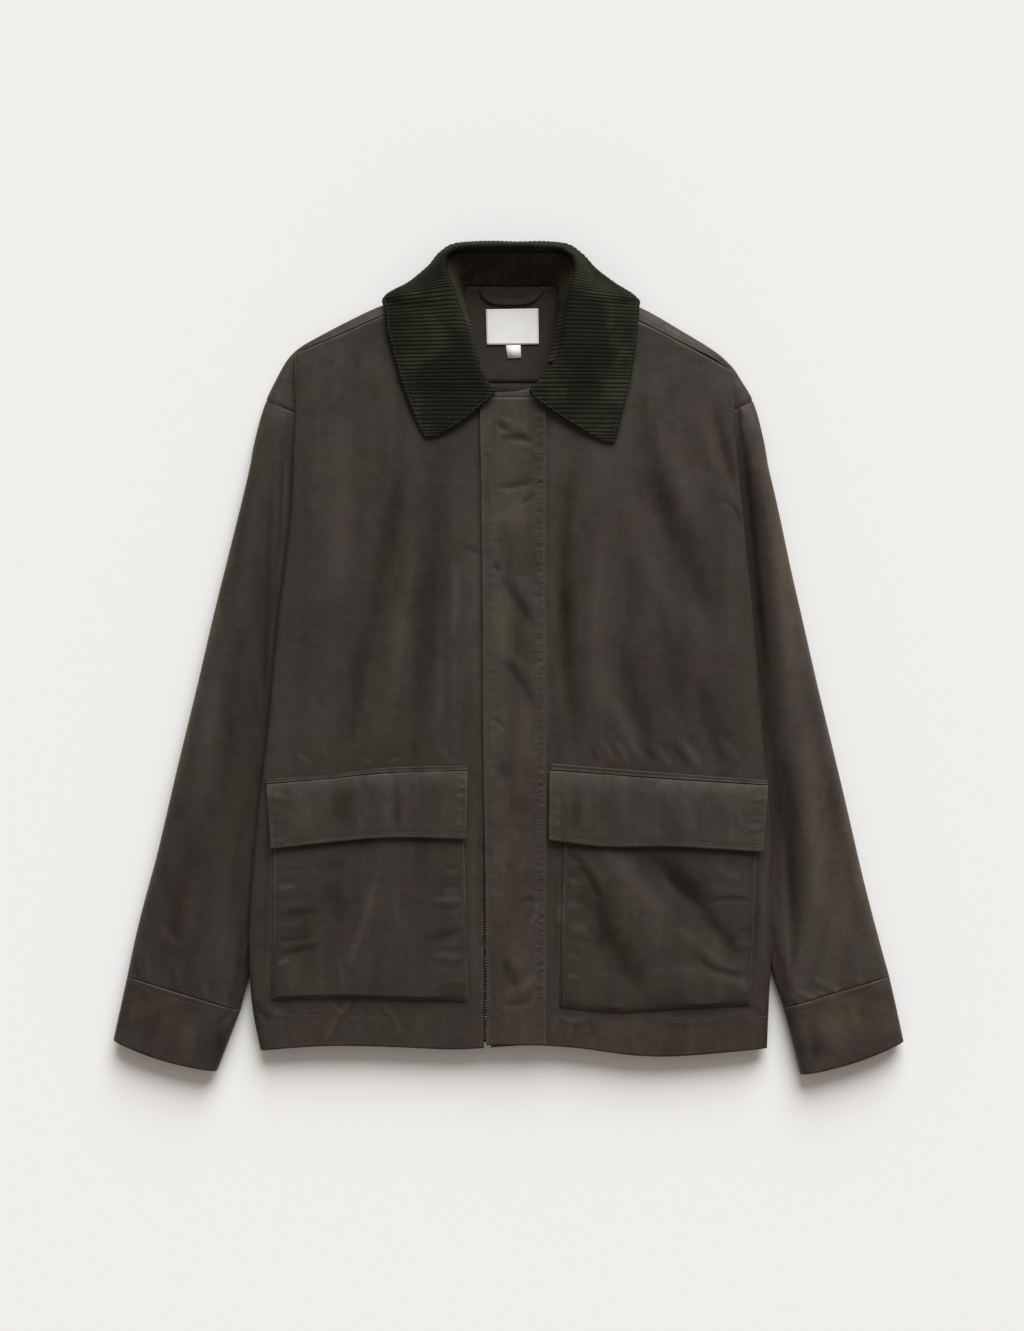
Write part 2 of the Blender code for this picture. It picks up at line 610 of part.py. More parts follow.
# Collar. Stations run from the point of a front leaf (0) round to the middle of the back
# (13). At each, the fall goes from its free edge over the crest to its seam with the stand.
COLLAR_RIGHT = Table(
    "station edge_x edge_y seam_x seam_y neck_x neck_y",
    (0, -79, 208.5, -68.5, 209, -20, 250),
    (1, -86, 221, -48.5, 220, -20, 250),
    (2, -93, 237, -26, 237, -20, 250),
    (3, -99, 252.5, -12, 250.5, -20, 250),
    (4, -102.5, 262, -20.5, 262, -20.5, 257),
    (5, -109.5, 286.5, -32.5, 286.5, -29, 286.5),
    (6, -115.5, 309, -38.5, 309, -34, 309),
    (7, -117, 328, -45.5, 331.5, -39, 329),
    (8, -118, 342, -51.5, 348.5, -41.5, 339),
    (9, -92, 356.5, -57, 366.5, -42.5, 346),
    (10, -74.5, 371, -56, 377, -41.5, 351.5),
    (11, -62.5, 383.5, -49.5, 381.5, -37, 352.8),
    (12, -44.5, 391.5, -39, 382.5, -25, 352.8),
    (13, 0, 392, 0, 382.5, 0, 352.7))
COLLAR_LEFT = Table(
    "station edge_x edge_y seam_x seam_y neck_x neck_y",
    (0, 100.5, 203, 90, 204, 28, 258),
    (1, 104, 216.5, 67.5, 216.5, 28, 258),
    (2, 108, 234.5, 38.5, 234.5, 28, 258),
    (3, 112.5, 250.5, 19.5, 250.5, 28, 258),
    (4, 115.5, 263.5, 30.5, 263.5, 28, 261),
    (5, 119, 286.5, 46.5, 286.5, 39, 286.5),
    (6, 121.5, 309, 50.5, 309, 43.5, 309),
    (7, 123.5, 330, 53.5, 331.5, 47, 329),
    (8, 122, 341, 58, 347, 46.5, 339),
    (9, 97, 356.5, 61, 365, 47, 346),
    (10, 80, 370, 58, 377, 45.5, 351.5),
    (11, 66.5, 383, 50.5, 381.5, 40.5, 352.8),
    (12, 48.5, 391.5, 40, 382.5, 28, 352.8),
    (13, 0, 392, 0, 382.5, 0, 352.7))
# Heights, how far the middle of the fall lies beyond its edge, how far the crest lies
# beyond the seam, and the cords from each station to the next
COLLAR_SHAPE = Table(
    "station edge_z mid_out mid_z crest_out crest_z seam_z neck_z cords",
    (0, 25.7, -4, 26.0, 3.5, 26.2, 26.0, 22.5, 4),
    (1, 25.7, -18, 27.1, 9, 28.0, 28.0, 22.5, 4),
    (2, 25.7, -33, 28.2, 12, 29.3, 28.8, 22.5, 4),
    (3, 25.5, -43, 29.5, 11, 31.0, 29.8, 22.5, 3),
    (4, 25.3, -40, 31.0, 7, 34.0, 31.0, 22.5, 7),
    (5, 24.8, -36, 33.0, 6, 38.0, 34.0, 21.5, 6),
    (6, 24.2, -36, 34.0, 6.5, 41.0, 36.0, 20.5, 6),
    (7, 23.1, -33, 34.0, 7, 43.0, 37.0, 19.5, 4),
    (8, 15.0, -9, 27.0, 7, 44.0, 38.0, 17.5, 7),
    (9, 2.0, 2.5, 17.0, 7, 44.0, 37.0, 13.5, 5),
    (10, 0.0, 2.5, 18.0, 6, 43.0, 35.0, 7.0, 4),
    (11, 0.0, 2.5, 18.0, 6, 42.0, 33.0, 2.6, 4),
    (12, 0.0, 2.2, 18.0, 6, 40.0, 31.0, 1.8, 12),
    (13, 0.0, 2.2, 18.0, 6, 39.0, 30.0, 1.8, 0))
FALL_THICK, STAND_THICK = 2.0, 1.8
CORD_HEIGHT = 0.7
CORD_STEEPNESS = 0.2     # a cord is lower where it narrows
FALL_STEPS = 7
FALL_PLAIN_STEP, STAND_PLAIN_STEP = 4, 4
STAND_START = 40         # the stand starts at this column of the fall and ends as far from its end


def collar_stations():
    """Two columns to a cord, from the right leaf's point to the left one's."""
    rows = COLLAR_SHAPE.rows
    one_side = [row[0] + step / (2 * row[-1]) for row in rows[:-1] for step in range(2 * row[-1])]
    middle = rows[-1][0]
    return ([(COLLAR_RIGHT, station) for station in one_side] + [(COLLAR_RIGHT, middle)]
            + [(COLLAR_LEFT, station) for station in reversed(one_side)])


def fall_column(plan, station):
    edge = Vector((plan("edge_x", station), plan("edge_y", station)))
    seam = Vector((plan("seam_x", station), plan("seam_y", station)))
    out = (edge - seam).normalized()
    middle = edge + out * COLLAR_SHAPE("mid_out", station)
    crest = seam + out * COLLAR_SHAPE("crest_out", station)
    keys = [(*edge, max(COLLAR_SHAPE("edge_z", station), 0)),
            (*middle, COLLAR_SHAPE("mid_z", station)),
            (*crest, COLLAR_SHAPE("crest_z", station)),
            (*seam, COLLAR_SHAPE("seam_z", station))]
    return even_points([Vector(key) for key in keys], FALL_STEPS)


def even_points(keys, steps):
    """Points at equal distances along a smooth curve through the keys."""
    fine = []
    for i in range(len(keys) - 1):
        before, start = keys[max(i - 1, 0)], keys[i]
        end, after = keys[i + 1], keys[min(i + 2, len(keys) - 1)]
        for step in range(12):
            t = step / 12
            fine.append(start * (2 * t ** 3 - 3 * t ** 2 + 1) + end * (3 * t ** 2 - 2 * t ** 3)
                        + (end - before) / 2 * (t ** 3 - 2 * t ** 2 + t)
                        + (after - start) / 2 * (t ** 3 - t ** 2))
    fine.append(keys[-1])
    lengths = [0.0]
    for a, b in zip(fine, fine[1:]):
        lengths.append(lengths[-1] + (b - a).length)
    points = []
    for step in range(steps + 1):
        wanted = lengths[-1] * step / steps
        i = max(k for k in range(len(fine) - 1) if lengths[k] <= wanted)
        t = (wanted - lengths[i]) / (lengths[i + 1] - lengths[i])
        points.append(fine[i].lerp(fine[i + 1], t))
    return points


def collar(finish):
    stations = collar_stations()
    columns = [fall_column(plan, station) for plan, station in stations]
    corded_wall("collar_fall", columns, FALL_THICK, FALL_PLAIN_STEP, finish)
    stand = []
    for plan, station in stations[STAND_START:-STAND_START]:
        seam = Vector((plan("seam_x", station), plan("seam_y", station),
                       COLLAR_SHAPE("seam_z", station)))
        neck = Vector((plan("neck_x", station), plan("neck_y", station),
                       COLLAR_SHAPE("neck_z", station)))
        last = fall_column(plan, station)
        turn = (last[-1] - last[-2]).angle(neck - seam)
        head = seam + (neck - seam).normalized() * (2 * SEAM + FALL_THICK * math.sin(turn))
        stand.append([head, head.lerp(neck, 0.5) - Vector((0, 0, 0.6)), neck])
    corded_wall("collar_stand", stand, STAND_THICK, STAND_PLAIN_STEP, finish)


# Hanger loop: a strap from the neck seam, down and back, that stands a little off the lining
LOOP = ((-25.5, 350.5, 0), (-22, 343.5, 0.8), (-16, 339.3, 1.2), (-6, 338.4, 1.4),
        (8, 338.4, 1.4), (19, 339.4, 1.2), (25.5, 343, 0.8), (30.5, 350.5, 0))
LOOP_HALF = 3.2


def hanger_loop(finish):
    centre = [Vector(point) for point in LOOP]
    rows = []
    for i, point in enumerate(centre):
        along = centre[min(i + 1, len(centre) - 1)] - centre[max(i - 1, 0)]
        aside = Vector((-along.y, along.x, 0)).normalized() * LOOP_HALF
        low = Vector((0, 0, ON_LINING))
        rows.append([point + low + aside, point + low - aside])
    return wall("hanger_loop", rows, finish, 1.5, outwards=True)


for old in list(bpy.data.objects):
    bpy.data.objects.remove(old, do_unlink=True)
jacket = bpy.data.collections.new("waxed_cotton_jacket")
bpy.context.scene.collection.children.link(jacket)

waxed = material("waxed_cotton", (0.043, 0.037, 0.028), 0.62)
corduroy = material("corduroy", (0.014, 0.015, 0.010), 0.85)
lining = material("lining_twill", (0.030, 0.026, 0.023), 0.7)
label = material("woven_label", (0.80, 0.79, 0.76), 0.8)
metal = material("zip_metal", (0.10, 0.09, 0.07), 0.4)

back(waxed)
back_yoke(waxed)
plate("yoke_lining", YOKE_LINING, ON_YOKE, LINING, lining)
plate("back_lining", BACK_LINING, ON_YOKE, LINING, lining)
plate("neck_label", NECK_LABEL, ON_LINING, LINING, label)
plate("size_tag", SIZE_TAG, ON_LINING, LINING, label)
hanger_loop(lining)
front(RIGHT, "front_right", ZIP_RIGHT_EDGE, waxed)
front(LEFT, "front_left", ZIP_LEFT_EDGE, waxed)
sleeve(RIGHT, "sleeve_right", waxed)
sleeve(LEFT, "sleeve_left", waxed)
cuff(RIGHT, "cuff_right", waxed)
cuff(LEFT, "cuff_left", waxed)
pocket(RIGHT, ("pocket_bag_right", "pocket_flap_right", "pocket_welt_right"),
       BAG_RIGHT, POCKET_FLAP_RIGHT, WELT_RIGHT, waxed)
pocket(LEFT, ("pocket_bag_left", "pocket_flap_left", "pocket_welt_left"),
       BAG_LEFT, POCKET_FLAP_LEFT, WELT_LEFT, waxed)
storm_flap(waxed)
zip_strip(metal)
collar(corduroy)
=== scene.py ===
"""Waxed cotton jacket laid flat with its fronts closed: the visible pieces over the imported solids.

Tables and creases are in millimetres. +X is the wearer's left, +Y runs from hem to collar and
+Z is up from the surface at z = 0.
"""

import math
import random
from functools import partial

import bmesh
import bpy
import numpy as np
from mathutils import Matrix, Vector, noise
from mathutils.bvhtree import BVHTree
from mathutils.kdtree import KDTree


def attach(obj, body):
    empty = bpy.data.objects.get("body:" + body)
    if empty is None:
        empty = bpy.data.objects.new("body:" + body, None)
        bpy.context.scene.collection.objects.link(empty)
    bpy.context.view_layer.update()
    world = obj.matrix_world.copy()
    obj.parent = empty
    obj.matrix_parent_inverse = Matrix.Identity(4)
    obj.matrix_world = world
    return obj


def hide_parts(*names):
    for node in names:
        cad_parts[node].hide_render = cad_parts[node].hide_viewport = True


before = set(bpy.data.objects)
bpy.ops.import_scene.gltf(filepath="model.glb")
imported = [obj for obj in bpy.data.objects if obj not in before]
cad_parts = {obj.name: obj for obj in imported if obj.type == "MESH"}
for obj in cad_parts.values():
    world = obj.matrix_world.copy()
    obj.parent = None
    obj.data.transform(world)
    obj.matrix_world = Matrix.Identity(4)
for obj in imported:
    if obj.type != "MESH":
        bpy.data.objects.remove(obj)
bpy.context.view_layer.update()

# ---- Back panel --------------------------------------------------------------------------
# The largest cut piece: one flat panel of waxed cotton that the whole jacket lies on. Waxed
# cotton is a dense plain weave, dyed and then dressed with wax on its face, and every panel
# is cut from another place on the cloth, so its cloudy browns and olives never match.
MM = 0.001
RIGHT, LEFT = -1, 1                 # the wearer's sides: the sign of x
MERGE = 2e-6                        # metres between points that are one
SHARP_BEND = 0.9                    # radians between faces, past which their edge stays sharp
UPWARD, SIDEWAYS = 0.2, 0.4         # a face looks up above the one, and sideways below the other
RUB_REACH = 1.9                     # how far in from a folded edge its wax is rubbed
RUB_SHARE = 2.2                     # how rubbed that edge is, as the height of a crease
RELIEF = 0.62                       # share of a crease's height that is left once it is pressed; the colour still paints highlight and shade from the full height
DIP_DEPTH, DIP_AWAY, DIP_WIDTH = 0.35, 1.7, 1.2     # of the dip beside a crease, in its sizes
MOST_STRAY, STRAY = 10, 0.6         # of a patch's edge: in mm, and as a share of its breadth
WAX_RUSSET, WAX_BROWN, WAX_UMBER, WAX_OLIVE = "#35291d", "#2f261e", "#2b2521", "#2a281b"
RUB_AND_PAINTED_HIGHLIGHT = "#4d463b"              # where handling has broken the wax at folded edges, and a painted highlight on crease ridges
WAX_SHEEN = "#fffaf2"               # the film is faintly yellow
CREASE_PAINTED_SHADE = "#0f0d09"                # painted shade in the bottom of a crease
MIDDLE = {"From Min": 0.3, "From Max": 0.7}     # the span that nearly all of a noise lies in


def linear(code):
    """Linear colour of an sRGB hex code."""
    parts = [int(code[i:i + 2], 16) / 255 for i in (1, 3, 5)]
    return (*(p / 12.92 if p <= 0.04045 else ((p + 0.055) / 1.055) ** 2.4 for p in parts), 1.0)


def fit(tree, node, inputs):
    """Sets a node's inputs to numbers, or links them to a socket or to a node's first output."""
    for socket, value in inputs.items():
        if isinstance(value, bpy.types.Node):
            value = value.outputs[0]
        if isinstance(value, bpy.types.NodeSocket):
            tree.links.new(value, node.inputs[socket])
        else:
            node.inputs[socket].default_value = value
    return node


def add(tree, kind, inputs=None, **settings):
    """Adds a node, with its settings and then its inputs."""
    made = tree.nodes.new(kind)
    for name, value in settings.items():
        setattr(made, name, value)
    return fit(tree, made, inputs or {})


def start_finish(name):
    """A new material, its tree, its shader and the place on the piece that patterns read."""
    made = bpy.data.materials.new(name)
    made.use_nodes = True
    tree = made.node_tree
    place = add(tree, "ShaderNodeTexCoord").outputs["Object"]
    return made, tree, tree.nodes["Principled BSDF"], place


def colour_stops(ramp, *stops):
    """Sets a colour ramp's places and colours."""
    elements = ramp.color_ramp.elements
    while len(elements) < len(stops):
        elements.new(1.0)
    for element, (place, code) in zip(elements, stops):
        element.position = place
        element.color = linear(code)


def waxed_cotton(name, shift, turn=0.0, tone=1.0, olive=0.0):
    """Waxed cotton, dyed and dressed: cloudy brown and olive with faint streaks along the
    warp, a dull grey sheen that is patchy where the wax lies thin, and a fine weave. Shift says
    where on the cloth the panel is cut, turn the way its warp runs, tone and olive its dye."""
    made, tree, shader, place = start_finish("waxed_cotton_" + name)
    dye, light, ridge = (add(tree, "ShaderNodeAttribute", attribute_name=kept).outputs["Fac"]
                         for kept in ("dye", "tone", "ridge"))
    warp = add(tree, "ShaderNodeMapping", {
        "Vector": place, "Location": shift, "Rotation": (0, 0, math.radians(turn))})
    stretched = add(tree, "ShaderNodeMapping", {"Vector": warp, "Scale": (1, 0.09, 1)})
    # clouds 90 mm across, streaks 16 mm apart and eleven times as long, grime 9 mm across, a
    # wax film that is whole or dried out in patches 40 mm across, and wax crumpled every 16 mm
    clouds, streaks, grime, film, crumple = (add(tree, "ShaderNodeTexNoise", {
        "Vector": cloth, "Scale": scale, "Detail": detail, "Roughness": rough,
        "Distortion": bent}) for cloth, scale, detail, rough, bent in (
            (warp, 11.0, 5.0, 0.62, 0.6), (stretched, 62.0, 4.0, 0.6, 0.0),
            (warp, 110.0, 7.0, 0.76, 0.0), (warp, 24.0, 5.0, 0.65, 0.8),
            (warp, 60.0, 4.0, 0.55, 0.4)))
    # the dye's hue, its lightness along the warp and where it is grimy, and then the film's
    # roughness and shine: smooth and shining where it is whole, dull where it has dried out
    cloudy, streaky, grimy, dull, shine = (add(tree, "ShaderNodeMapRange", {
        "Value": pattern, **MIDDLE, "To Min": low, "To Max": high}) for pattern, low, high in (
            (clouds, 0.35 + olive, 0.75 + olive), (streaks, 0.78 * tone, 1.22 * tone),
            (grime, 0.76, 1.2), (film, 0.58, 0.74), (film, 0.56, 0.36)))
    ramp = add(tree, "ShaderNodeValToRGB", {
        "Fac": add(tree, "ShaderNodeMath", {0: cloudy, 1: dye}, operation="ADD")})
    colour_stops(ramp, (0.05, WAX_RUSSET), (0.35, WAX_BROWN), (0.52, WAX_UMBER), (0.8, WAX_OLIVE))
    mottled = add(tree, "ShaderNodeMath", {0: streaky, 1: grimy}, operation="MULTIPLY")
    # lighter and darker where the patches say: dye in places, painted highlight and painted shade in
    # others
    value = add(tree, "ShaderNodeMath", {0: mottled, 1: light, 2: mottled},
                operation="MULTIPLY_ADD")
    dyed = add(tree, "ShaderNodeHueSaturation", {"Color": ramp, "Value": value})
    # creases: a painted highlight along their ridges, with wear rubbed pale at folded edges, and
    # painted shade along their troughs
    high, low = (add(tree, "ShaderNodeMapRange", {
        "Value": ridge, "From Min": 0.1 * way, "From Max": 1.5 * way, "To Min": 0.0,
        "To Max": 0.5}) for way in (1, -1))
    # the rubbed colour: painted highlight on crease ridges, and wear at folded edges
    rubbed = add(tree, "ShaderNodeMix", {"Factor": high, 6: dyed, 7: linear(RUB_AND_PAINTED_HIGHLIGHT)},
                 data_type="RGBA")
    # painted shade in the crease troughs
    trough_painted_shade = add(tree, "ShaderNodeMix", {
        "Factor": low, 6: rubbed.outputs[2], 7: linear(CREASE_PAINTED_SHADE)}, data_type="RGBA")
    # and less shine in the troughs: painted shade on the sheen
    shaded = add(tree, "ShaderNodeMath", {0: low, 1: 0.55}, operation="MULTIPLY")
    gloss = add(tree, "ShaderNodeMath", {0: shine, 1: shaded}, operation="SUBTRACT")
    # threads 0.5 mm apart, drawn 1.8 mm apart so that they show
    ends, picks = (add(tree, "ShaderNodeTexNoise", {
        "Vector": add(tree, "ShaderNodeMapping", {"Vector": warp, "Scale": drawn_out}),
        "Scale": 560.0, "Detail": 1.0}) for drawn_out in ((1, 0.12, 1), (0.12, 1, 1)))
    weave = add(tree, "ShaderNodeMath", {0: ends, 1: picks}, operation="ADD")
    soft = add(tree, "ShaderNodeBump", {
        "Height": crumple, "Distance": 0.0014, "Strength": 0.3})
    fine = add(tree, "ShaderNodeBump", {
        "Height": weave, "Distance": 0.00014, "Strength": 0.4, "Normal": soft})
    fit(tree, shader, {
        "Base Color": trough_painted_shade.outputs[2], "Roughness": dull, "IOR": 1.42, "Normal": fine,
        "Specular IOR Level": gloss, "Specular Tint": linear(WAX_SHEEN)})
    return made


def crease_heights(creases, x, y):
    """Height that creases add at each point. Each is (x0, y0, x1, y1, sag, half width, height)
    and runs along a chord that bows by its sag. It fades at both ends, and has a shallow dip
    along one flank."""
    total = np.zeros_like(x)
    for x0, y0, x1, y1, sag, half_width, height in creases:
        along_x, along_y = x1 - x0, y1 - y0
        length = math.hypot(along_x, along_y)
        t = ((x - x0) * along_x + (y - y0) * along_y) / length ** 2
        inside = np.clip(t, 0, 1)
        side = ((y - y0) * along_x - (x - x0) * along_y) / length
        fade = np.clip(1 - np.abs(2 * t - 1) ** 3, 0, 1)
        away = (side - sag * 4 * inside * (1 - inside)) / (half_width * (0.55 + 0.45 * fade))
        from_dip = (away - math.copysign(DIP_AWAY, sag or 1)) / DIP_WIDTH
        total += height * fade * (np.exp(-away ** 2) - DIP_DEPTH * np.exp(-from_dip ** 2))
    return total


def sway(x, y, seed, across=42.0, along=230.0, height=0.9):
    """Slow uneven rise and fall of laid cloth, longer along the warp than across it."""
    return np.array([height * noise.noise(Vector((a / across, b / along, seed)))
                     for a, b in zip(x, y)])


def patch_values(patches, x, y):
    """What patches add at each point: how much more olive the cloth's dye is, or where that
    is negative more russet, and how much lighter, which is dye in some patches and painted
    highlight and painted shade in others. Each patch is (x, y, reach, breadth, turn in
    degrees, olive, light), and its edge strays."""
    olive, light = np.zeros_like(x), np.zeros_like(x)
    stray_x, stray_y = sway(x, y, 3.7, 30, 40), sway(x, y, 6.9, 30, 40)
    for at_x, at_y, reach, breadth, turn, more_olive, more_light in patches:
        turn, stray = math.radians(turn), min(MOST_STRAY, STRAY * breadth)
        off_x, off_y = x + stray * stray_x - at_x, y + stray * stray_y - at_y
        along = off_x * math.cos(turn) + off_y * math.sin(turn)
        across = off_y * math.cos(turn) - off_x * math.sin(turn)
        share = np.exp(-(along / reach) ** 2 - (across / breadth) ** 2)
        olive += more_olive * share
        light += more_light * share
    return olive, light


def vertex_places(mesh):
    """Vertex places of a mesh in millimetres."""
    places = np.zeros(len(mesh.vertices) * 3, np.float32)
    mesh.vertices.foreach_get("co", places)
    return places.reshape(-1, 3).astype(float) / MM


def place_vertices(mesh, places):
    """Moves the vertices, in millimetres."""
    mesh.vertices.foreach_set("co", (places * MM).astype(np.float32).ravel())
    mesh.update()


def keep_value(mesh, name, values):
    """Keeps one number for each vertex, for the material to read."""
    kept = mesh.attributes.get(name) or mesh.attributes.new(name, "FLOAT", "POINT")
    kept.data.foreach_set("value", values.astype(np.float32).ravel())


def rubbed_edges(mesh, places):
    """How rubbed each vertex is: fully at the folded edges, which face sideways, and unevenly."""
    facing = np.zeros(len(mesh.vertices) * 3, np.float32)
    mesh.vertex_normals.foreach_get("vector", facing)
    upright = facing.reshape(-1, 3)[:, 2]
    rim = np.flatnonzero(np.abs(upright) < SIDEWAYS)
    tree = KDTree(len(rim))
    for index in rim:
        tree.insert(places[index], index)
    tree.balance()
    rub = np.zeros(len(places))
    for index in np.flatnonzero(upright > UPWARD):
        away = tree.find(places[index])[2]
        if away is not None and away < 3 * RUB_REACH:
            x, y, _ = places[index]
            uneven = 0.75 + 0.7 * noise.noise(Vector((x / 9, y / 9, 0.5)))
            rub[index] = uneven * math.exp(-(away / RUB_REACH) ** 2)
    return rub


def refine(mesh, zones):
    """Halves the faces that look up inside each zone (x0, y0, x1, y1), one zone after another."""
    work = bmesh.new()
    work.from_mesh(mesh)
    for x0, y0, x1, y1 in zones:
        picked = set()
        for face in work.faces:
            x, y, _ = face.calc_center_median() / MM
            if face.normal.z > UPWARD and x0 < x < x1 and y0 < y < y1:
                picked.update(face.edges)
        bmesh.ops.subdivide_edges(work, edges=list(picked), cuts=1, use_grid_fill=True)
    work.to_mesh(mesh)
    work.free()


def in_scene(name, data):
    """A new object in the scene."""
    made = bpy.data.objects.new(name, data)
    bpy.context.scene.collection.objects.link(made)
    return made


def applied(form):
    """The plain mesh that an object's modifiers make. The object goes."""
    graph = bpy.context.evaluated_depsgraph_get()
    mesh = bpy.data.meshes.new_from_object(form.evaluated_get(graph))
    bpy.data.objects.remove(form)
    return mesh


def finished(name, mesh, finish, slot, *nodes):
    """Puts a mesh in the scene as a piece of the jacket."""
    mesh.materials.clear()
    mesh.materials.append(finish)
    mesh.shade_smooth()
    made = in_scene(name, mesh)
    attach(made, "root")
    if nodes:
        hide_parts(*nodes)
    return made


def cloth_piece(name, node, finish, heights, cuts=(), patches=(), fine=(), levels=3,
                slot="waxed_cotton"):
    """Thin cloth on the form of a solid: the solid's shape is rounded by subdivision and then
    raised and lowered by heights(x, y, z). Cuts are (axis, place) lines that it is diced on,
    patches are where its dye is olive or russet, and fine are zones with a finer mesh."""
    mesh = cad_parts[node].data.copy()
    if "custom_normal" in mesh.attributes:
        mesh.attributes.remove(mesh.attributes["custom_normal"])
    work = bmesh.new()
    work.from_mesh(mesh)
    bmesh.ops.remove_doubles(work, verts=work.verts, dist=MERGE)
    bmesh.ops.join_triangles(work, faces=work.faces, angle_face_threshold=0.7,
                             angle_shape_threshold=3.1)
    for axis, at in cuts:
        normal = Vector((axis == "x", axis == "y", 0))
        bmesh.ops.bisect_plane(work, geom=work.verts[:] + work.edges[:] + work.faces[:],
                               plane_co=normal * at * MM, plane_no=normal, dist=MERGE)
    sharp = work.edges.layers.float.new("crease_edge")
    for edge in work.edges:
        if edge.is_manifold and edge.calc_face_angle() > SHARP_BEND:
            edge[sharp] = 1.0
    work.to_mesh(mesh)
    work.free()
    form = in_scene(name + "_form", mesh)
    if levels:
        rounding = form.modifiers.new("rounding", "SUBSURF")
        rounding.levels = rounding.render_levels = levels
    cloth = applied(form)
    refine(cloth, fine)
    places = vertex_places(cloth)
    rub = rubbed_edges(cloth, places)
    rise = heights(*places.T)
    places[:, 2] += RELIEF * rise
    place_vertices(cloth, places)
    olive, light = patch_values(patches, *places.T[:2])
    # ridge carries the creases, which the material paints as highlight and shade, and the rubbed
    # edges, which it paints as wear; tone carries the patches' lightness
    for kept, values in (("ridge", rise + RUB_SHARE * rub), ("dye", olive), ("tone", light)):
        keep_value(cloth, kept, values)
    return finished(name, cloth, finish, slot, node)


def diced(left, right, low, high, step):
    """Evenly spread lines to cut a panel's mesh on."""
    lines = []
    for axis, start, end in (("x", left, right), ("y", low, high)):
        count = round((end - start) / step)
        lines += [(axis, start + (end - start) * i / count) for i in range(1, count)]
    return lines


def still(x, y, z):
    """No creases."""
    return np.zeros_like(x)


BACK_CREASES = (
    (-150, 180, -120, 20, 9, 12, 0.5), (110, 190, 150, 60, -8, 11, 0.45),
    (-60, -40, -95, -230, 8, 13, 0.5), (70, 30, 40, -180, -10, 12, 0.45),
    (-190, -120, -130, -300, 6, 10, 0.4), (160, -130, 190, -320, -7, 11, 0.5),
    (-30, 150, 20, 110, 5, 8, 0.35), (0, -290, 60, -330, -4, 8, 0.35),
)
back = cloth_piece("back_panel", "back", waxed_cotton("back", (0.31, 0.12, 0.4)),
                   lambda x, y, z: np.maximum(crease_heights(BACK_CREASES, x, y), 0),
                   diced(-232, 236, -361, 214, 13), levels=0)

# ---- Back yoke ---------------------------------------------------------------------------
# The shoulders: one piece of the same cloth, flat under the wearer's shoulders and turned over
# the shoulder edge to the front seams, so a strip of it shows from above on each side.


def smooth_step(low, high, value):
    """0 below low, 1 above high, and a smooth way between them."""
    t = np.clip((value - low) / (high - low), 0, 1)
    return t * t * (3 - 2 * t)


YOKE_CREASES = (
    (-150, 240, -60, 262, 8, 10, 0.5), (60, 240, 150, 262, 7, 11, 0.5),
    (-110, 318, -60, 300, -6, 9, 0.45), (70, 305, 120, 318, 6, 9, 0.45),
)
YOKE_PATCHES = (
    (134, 319, 38, 13, -30, 0, 0.19), (186, 289, 34, 11, -26, 0.05, 0.38),
    (-150, 310, 47, 11, 24, 0, 0.19), (-197, 291, 19, 11, 24, 0.1, 0.1),
)
yoke = cloth_piece(
    "back_yoke_panel", "back_yoke",
    waxed_cotton("yoke", (0.05, 0.5, 0.2), 90, 1.4, -0.05),
    lambda x, y, z: (1 - smooth_step(2.5, 5, z)) * np.maximum(
        crease_heights(YOKE_CREASES, x, y), 0),
    patches=YOKE_PATCHES, levels=2)

# Each armhole end is a seam allowance that reaches into the sleeve and is bent in behind it.
# The seam runs from its foot (x, y) to its head (x, y).
ALLOWANCE, BENT_IN, NARROWED = 3.0, 1.7, 2.0
NARROWS = 40, 70                    # how far up from its foot it starts and ends to narrow
AT_SEAM, BELOW_SHOULDER, BETWEEN_LAYERS = 0.7, 247, 4
ARMHOLE_SEAMS = ((-157.5, 216.5, -229.9, 244.4), (171.5, 216.5, 231.9, 244.4))
places = vertex_places(yoke.data)
for foot_x, foot_y, head_x, head_y in ARMHOLE_SEAMS:
    along = np.array((head_x - foot_x, head_y - foot_y))
    along /= math.hypot(*along)
    into = np.array((along[1] * np.sign(along[0]), -abs(along[0])))
    from_seam = (places[:, :2] - (foot_x, foot_y)) @ into
    at_end = ((np.abs(from_seam) < AT_SEAM) & (places[:, 1] < BELOW_SHOULDER)
              & (places[:, 0] * foot_x > 0))
    outwards = smooth_step(*NARROWS, (places[at_end, :2] - (foot_x, foot_y)) @ along)
    places[at_end, :2] += into * ALLOWANCE - NARROWED * outwards[:, None] * along
    places[at_end, 2] += np.where(places[at_end, 2] > BETWEEN_LAYERS, -BENT_IN, BENT_IN)
place_vertices(yoke.data, places)

# ---- Linings -----------------------------------------------------------------------------
# What the neck shows of the inside: a yoke lining of dark cotton twill, and below its seam the
# darker strip of the back lining.


